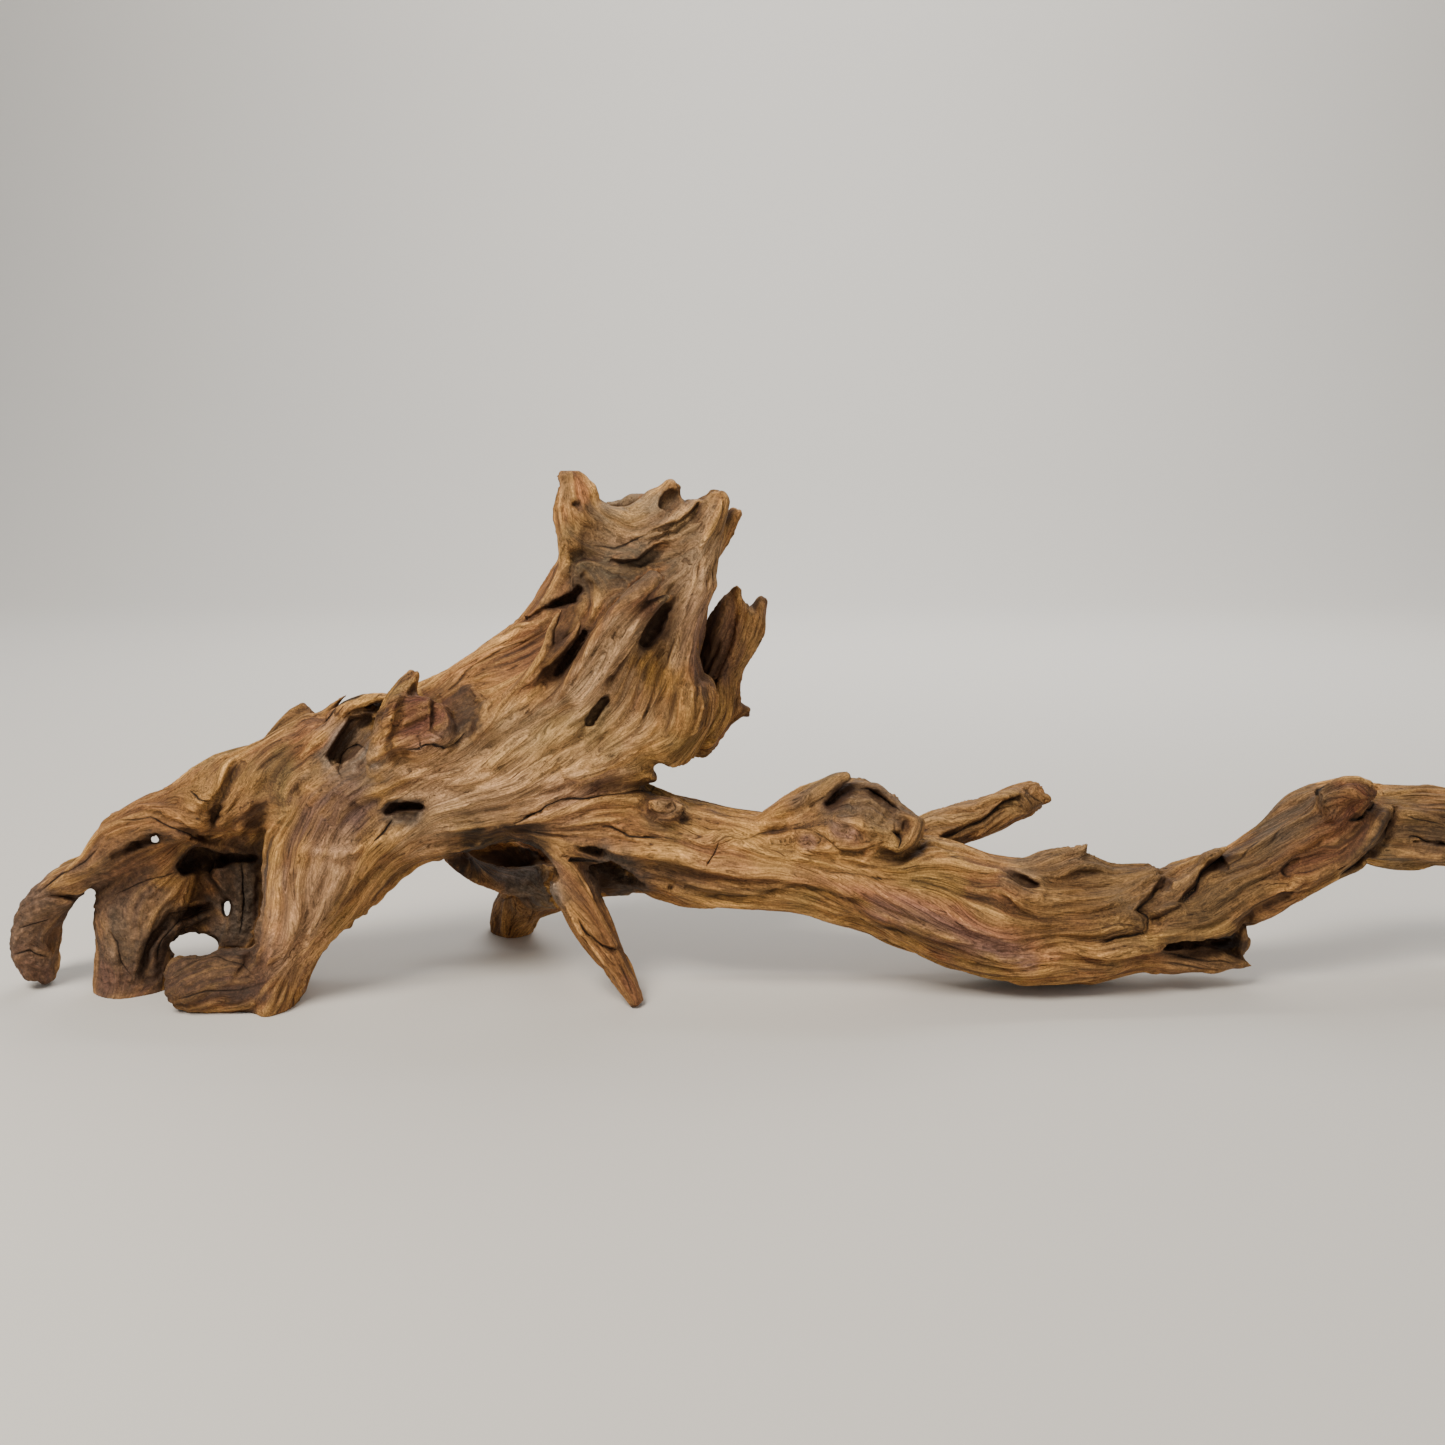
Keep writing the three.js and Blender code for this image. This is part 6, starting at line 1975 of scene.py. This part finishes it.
        # Painted shade: darker where little air is round the wood, in crevices, hollows and between limbs.
        shade = times(spread(attribute("near_air"), 0.2, 0.95), spread(attribute("far_air"), -0.1, 0.85))
        colour = mix(spread(shade, 0.0, 0.85, 0.9, 0.0), colour, self.dark)
        # Painted shade of the marks: beside torn ledges' low sides, in cracks and in grooves.
        colour = mix(spread(attribute("dark"), 0.0, 1.0, 0.0, 0.8), colour, self.dark)
        # Painted shade: a thin black line in each crack and a painted shadow line under each torn edge.
        split = times(spread(nodes.math("ABSOLUTE", attribute("split")), 0.6, 0.15), attribute("gape"))
        colour = mix(nodes.math("MINIMUM", times(split, 1.5), 0.95), colour, self.black)

        rough = spread(noise(60.0, 3.0), 0.3, 0.7, self.roughness - 0.12, self.roughness + 0.14)
        height = plus(times(lines, 0.7), times(noise(1100.0, 3.0, 0.65), 0.3), times(crumb, rot, 1.4),
                      times(check, -0.5), times(split, -1.2))
        bump = nodes.add("ShaderNodeBump", {"Strength": 0.8, "Distance": 0.001, "Height": height})
        for name, value in (("Base Color", colour), ("Roughness", rough), ("Normal", bump.outputs[0])):
            material.node_tree.links.new(value, shader.inputs[name])
        shader.inputs["Specular IOR Level"].default_value = 0.22
        return material


class Driftwood:
    """The whole piece of wood: grows it, skins it, raises its grain and parts it at its forks."""

    LIFT_ROUNDS = 9  # how far the directions of the relief are evened out
    SOLE_FADE = 4.0  # height over the floor at which the relief is full, mm

    def __init__(self, members: tuple[Member, ...], finishes: tuple[WoodFinish, ...]) -> None:
        """Takes the members that the wood is grown from.

        Args:
            members: The parts of the wood.
            finishes: One finish for each material slot.
        """
        self.finishes = {finish.slot: finish.build() for finish in finishes}
        self.camera = PhotoCamera()
        self.limbs, self.hollows, self.marks, self.stains_and_painted_light = (
            [form for member in members for form in getattr(member, name)]
            for name in ("limbs", "hollows", "marks", "stains_and_painted_light"))

    def grow(self) -> Surface:
        """Grows the wood.

        Returns:
            Its surface, with its grain, rot and openness, its stained patches, and its painted shade and
            painted light.
        """
        wood = WoodField(self.camera, Lattice(SEED))
        for late in (False, True):
            for index, form in enumerate(self.limbs):
                if form.late is late:
                    wood.add_limb(form, float(index))
            if not late:
                wood.roughen()
                for form in self.hollows:
                    wood.carve(form)
        LOG.info("%d limbs grown on a grid of %s", len(self.limbs), wood.grid.shape)
        front = wood.front_depth()
        wood.comb(self.marks, front)
        wood.level_grain()
        grid, values = wood.fine()
        wood.cut_marks(grid, values, self.marks, front)
        LOG.info("%d marks cut", len(self.marks))
        surface = Surface(wood, grid, values, front)
        surface.streak()
        surface.measure_air_and_rot()
        surface.paint(self.stains_and_painted_light, self.marks)
        LOG.info("%d faces skinned", len(surface.skin.quads))
        return surface

    def raise_grain(self, skin: Skin) -> np.ndarray:
        """Raises the skin by its grain, through Geometry Nodes.

        Args:
            skin: The skin, with its grain.

        Returns:
            Its points in metres.
        """
        depth = np.clip(skin.points[:, 2] / self.SOLE_FADE, 0.0, 1.0)
        depth *= np.clip(skin.values["thick"], 0.25, 1.0)
        lift = unit(Surface.smooth(skin.normals, skin.quads, self.LIFT_ROUNDS))
        mesh = new_mesh("blank", (skin.points - MIDDLE) * TO_METRES, skin.quads)
        put_values(mesh, {**{name: skin.values[name] for name in ("fibre", "ridge", "fold", "rot")},
                          "depth": depth, "lift": lift})
        blank = linked("blank", mesh)
        modifier = blank.modifiers.new("relief", "NODES")
        relief = ReliefTree()
        modifier.node_group = relief.build()
        for name, value in (*relief.INPUTS, ("Material", next(iter(self.finishes.values())))):
            set_input(modifier, name, value)
        raised = bpy.data.meshes.new_from_object(blank.evaluated_get(bpy.context.evaluated_depsgraph_get()))
        moved = np.empty(len(raised.vertices) * 3, np.float32)
        raised.vertices.foreach_get("co", moved)
        bpy.data.objects.remove(blank, do_unlink=True)
        bpy.data.meshes.remove(raised)
        return moved.reshape(-1, 3).astype(np.float64)

    @staticmethod
    def share_out(points: np.ndarray, quads: np.ndarray) -> np.ndarray:
        """Shares the faces out among the forks, each fork's as one connected body.

        Args:
            points: Places in mm, one a row.
            quads: The faces.

        Returns:
            The index of each face's fork.
        """
        middles = points[quads].mean(1)
        owner = np.full(len(quads), len(FORKS) - 1)
        for index, cut_off in enumerate(FORKS[:-1]):
            inside = np.logical_or.reduce([block.holds(middles) for block in cut_off.blocks])
            mine = np.nonzero(inside & (owner == len(FORKS) - 1))[0]
            if mine.size:
                labels = connected(len(points), quads[mine])[quads[mine][:, 0]]
                owner[mine[labels == np.bincount(labels).argmax()]] = index
        return owner

    @staticmethod
    def rims(quads: np.ndarray, count: int) -> list[np.ndarray]:
        """The open rims of a set of faces.

        Args:
            quads: The faces.
            count: How many points there are.

        Returns:
            Rings of points, each in the order that closes it.
        """
        starts, ends = quads.ravel(), np.roll(quads, -1, axis=1).ravel()
        open_edges = ~np.isin(starts * count + ends, ends * count + starts)
        follow: dict[int, list[int]] = {}
        for start, end in zip(starts[open_edges].tolist(), ends[open_edges].tolist()):
            follow.setdefault(end, []).append(start)
        rings = []
        while follow:
            place = next(iter(follow))
            ring = []
            while place in follow:
                ring.append(place)
                nexts = follow[place]
                step = nexts.pop()
                if not nexts:
                    del follow[place]
                if step == ring[0]:
                    break
                place = step
            rings.append(np.array(ring))
        return rings

    @staticmethod
    def cap(ring: np.ndarray, places: np.ndarray) -> np.ndarray:
        """Triangles that close a ring without leaving it.

        Args:
            ring: Indices of the ring's points.
            places: All the piece's points.

        Returns:
            Three indices a row, turned as the ring is.
        """
        corners = np.array(tessellate_polygon([[Vector(places[i]) for i in ring]]), int).reshape(-1, 3)
        before = np.roll(corners, 1, axis=1)
        ahead = ((corners - before) % len(ring) == 1).sum()
        back = ((before - corners) % len(ring) == 1).sum()
        return ring[corners if ahead >= back else corners[:, ::-1]]

    def build(self) -> None:
        """Makes each piece of the wood, closed where it meets its neighbours."""
        skin = self.grow().skin
        low, high = (np.array(corner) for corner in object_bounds())
        points = np.clip(self.raise_grain(skin), low, high)
        corners = points[skin.quads]
        turned = np.cross(corners[:, 2] - corners[:, 0], corners[:, 3] - corners[:, 1])
        normals = unit(np.stack([sum(np.bincount(skin.quads[:, corner], turned[:, axis], len(points))
                                     for corner in range(4)) for axis in range(3)], 1))
        owner = self.share_out(skin.points, skin.quads)
        for index, cut_off in enumerate(FORKS):
            used, quads = numbered(skin.quads[owner == index])
            rings = self.rims(quads, len(used))
            caps = [self.cap(ring, points[used]) for ring in rings]
            mesh = new_mesh(cut_off.node, points[used], quads, np.vstack(caps))
            mesh.normals_split_custom_set_from_vertices(normals[used])
            put_values(mesh, {name: array[used] for name, array in skin.values.items()})
            mesh.materials.append(self.finishes[cut_off.slot])
            piece = linked(f"{cut_off.node}_{cut_off.part}", mesh)
            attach(piece, "root")
            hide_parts(cut_off.node)
            LOG.info("%s: %d faces, %d cut ends", piece.name, len(mesh.polygons), len(rings))


@dataclass(frozen=True)
class Lamp:
    """A soft box: where it stands, how large and how bright it is, and what it points at."""

    name: str
    place: tuple[float, float, float]
    size: float
    power: float
    colour: Colour
    aim: tuple[float, float, float] = (0.0, 0.0, 0.1)


@dataclass
class Studio:
    """A plain pale floor that sweeps up into a backdrop, soft lamps and a pale sky."""

    lamps: tuple[Lamp, ...] = (
        Lamp("key_light", (-0.62, -0.85, 1.35), 0.6, 33.0, (1.0, 0.95, 0.88)),
        Lamp("fill_light", (1.3, -1.4, 0.9), 1.6, 6.0, (0.95, 0.97, 1.0)),
        Lamp("back_light", (0.3, 1.4, 1.6), 1.2, 14.0, (0.97, 0.98, 1.0)),
        Lamp("wall_light", (0.2, 1.1, 2.5), 2.0, 110.0, (0.97, 0.98, 1.0), (0.2, 3.6, 1.0)),
    )
    floor_side: float = 14.0
    sweep_start: float = 2.0
    sweep_radius: float = 1.4
    wall_height: float = 5.0
    floor_colour: Colour = (0.62, 0.585, 0.53)
    sky_colour: Colour = (0.84, 0.86, 0.88)
    sky_strength: float = 0.4

    def build(self) -> None:
        """Sets up the floor, the lamps and the sky."""
        half = self.floor_side / 2
        bends = np.linspace(-math.pi / 2, 0, 24)
        depths = self.sweep_start + self.sweep_radius * np.cos(bends)
        heights = self.sweep_radius * (1 + np.sin(bends))
        profile = [(-half, 0.0), *zip(depths, heights), (depths[-1], self.wall_height)]
        corners = np.array([(side, y, z) for y, z in profile for side in (-half, half)])
        quads = np.array([(2 * i, 2 * i + 1, 2 * i + 3, 2 * i + 2) for i in range(len(profile) - 1)])
        floor = linked("floor", new_mesh("floor", corners, quads))
        paper = bpy.data.materials.new("pale_floor")
        paper.use_nodes = True
        shader = paper.node_tree.nodes["Principled BSDF"]
        shader.inputs["Base Color"].default_value = (*self.floor_colour, 1.0)
        shader.inputs["Roughness"].default_value = 0.9
        floor.data.materials.append(paper)
        floor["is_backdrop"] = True
        for lamp in self.lamps:
            data = bpy.data.lights.new(lamp.name, "AREA")
            data.size = lamp.size
            data.energy = lamp.power
            data.color = lamp.colour
            light = linked(lamp.name, data)
            light.location = lamp.place
            light.rotation_euler = (Vector(lamp.aim) - light.location).to_track_quat("-Z", "Y").to_euler()
        world = bpy.data.worlds.new("pale_room")
        world.use_nodes = True
        sky = world.node_tree.nodes["Background"]
        sky.inputs["Color"].default_value = (*self.sky_colour, 1.0)
        sky.inputs["Strength"].default_value = self.sky_strength
        bpy.context.scene.world = world


def main() -> None:
    """Builds the wood, the studio and the camera."""
    logging.basicConfig(level=logging.INFO, format="%(relativeCreated)d ms %(name)s: %(message)s")
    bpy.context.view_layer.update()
    members = (Body(), HollowFoot(), LongLimb(), Undersprouts())
    wood = Driftwood(members, tuple(WoodFinish(slot) for slot in Slot))
    wood.build()
    Studio().build()
    wood.camera.build()


if __name__ == "__main__":
    main()
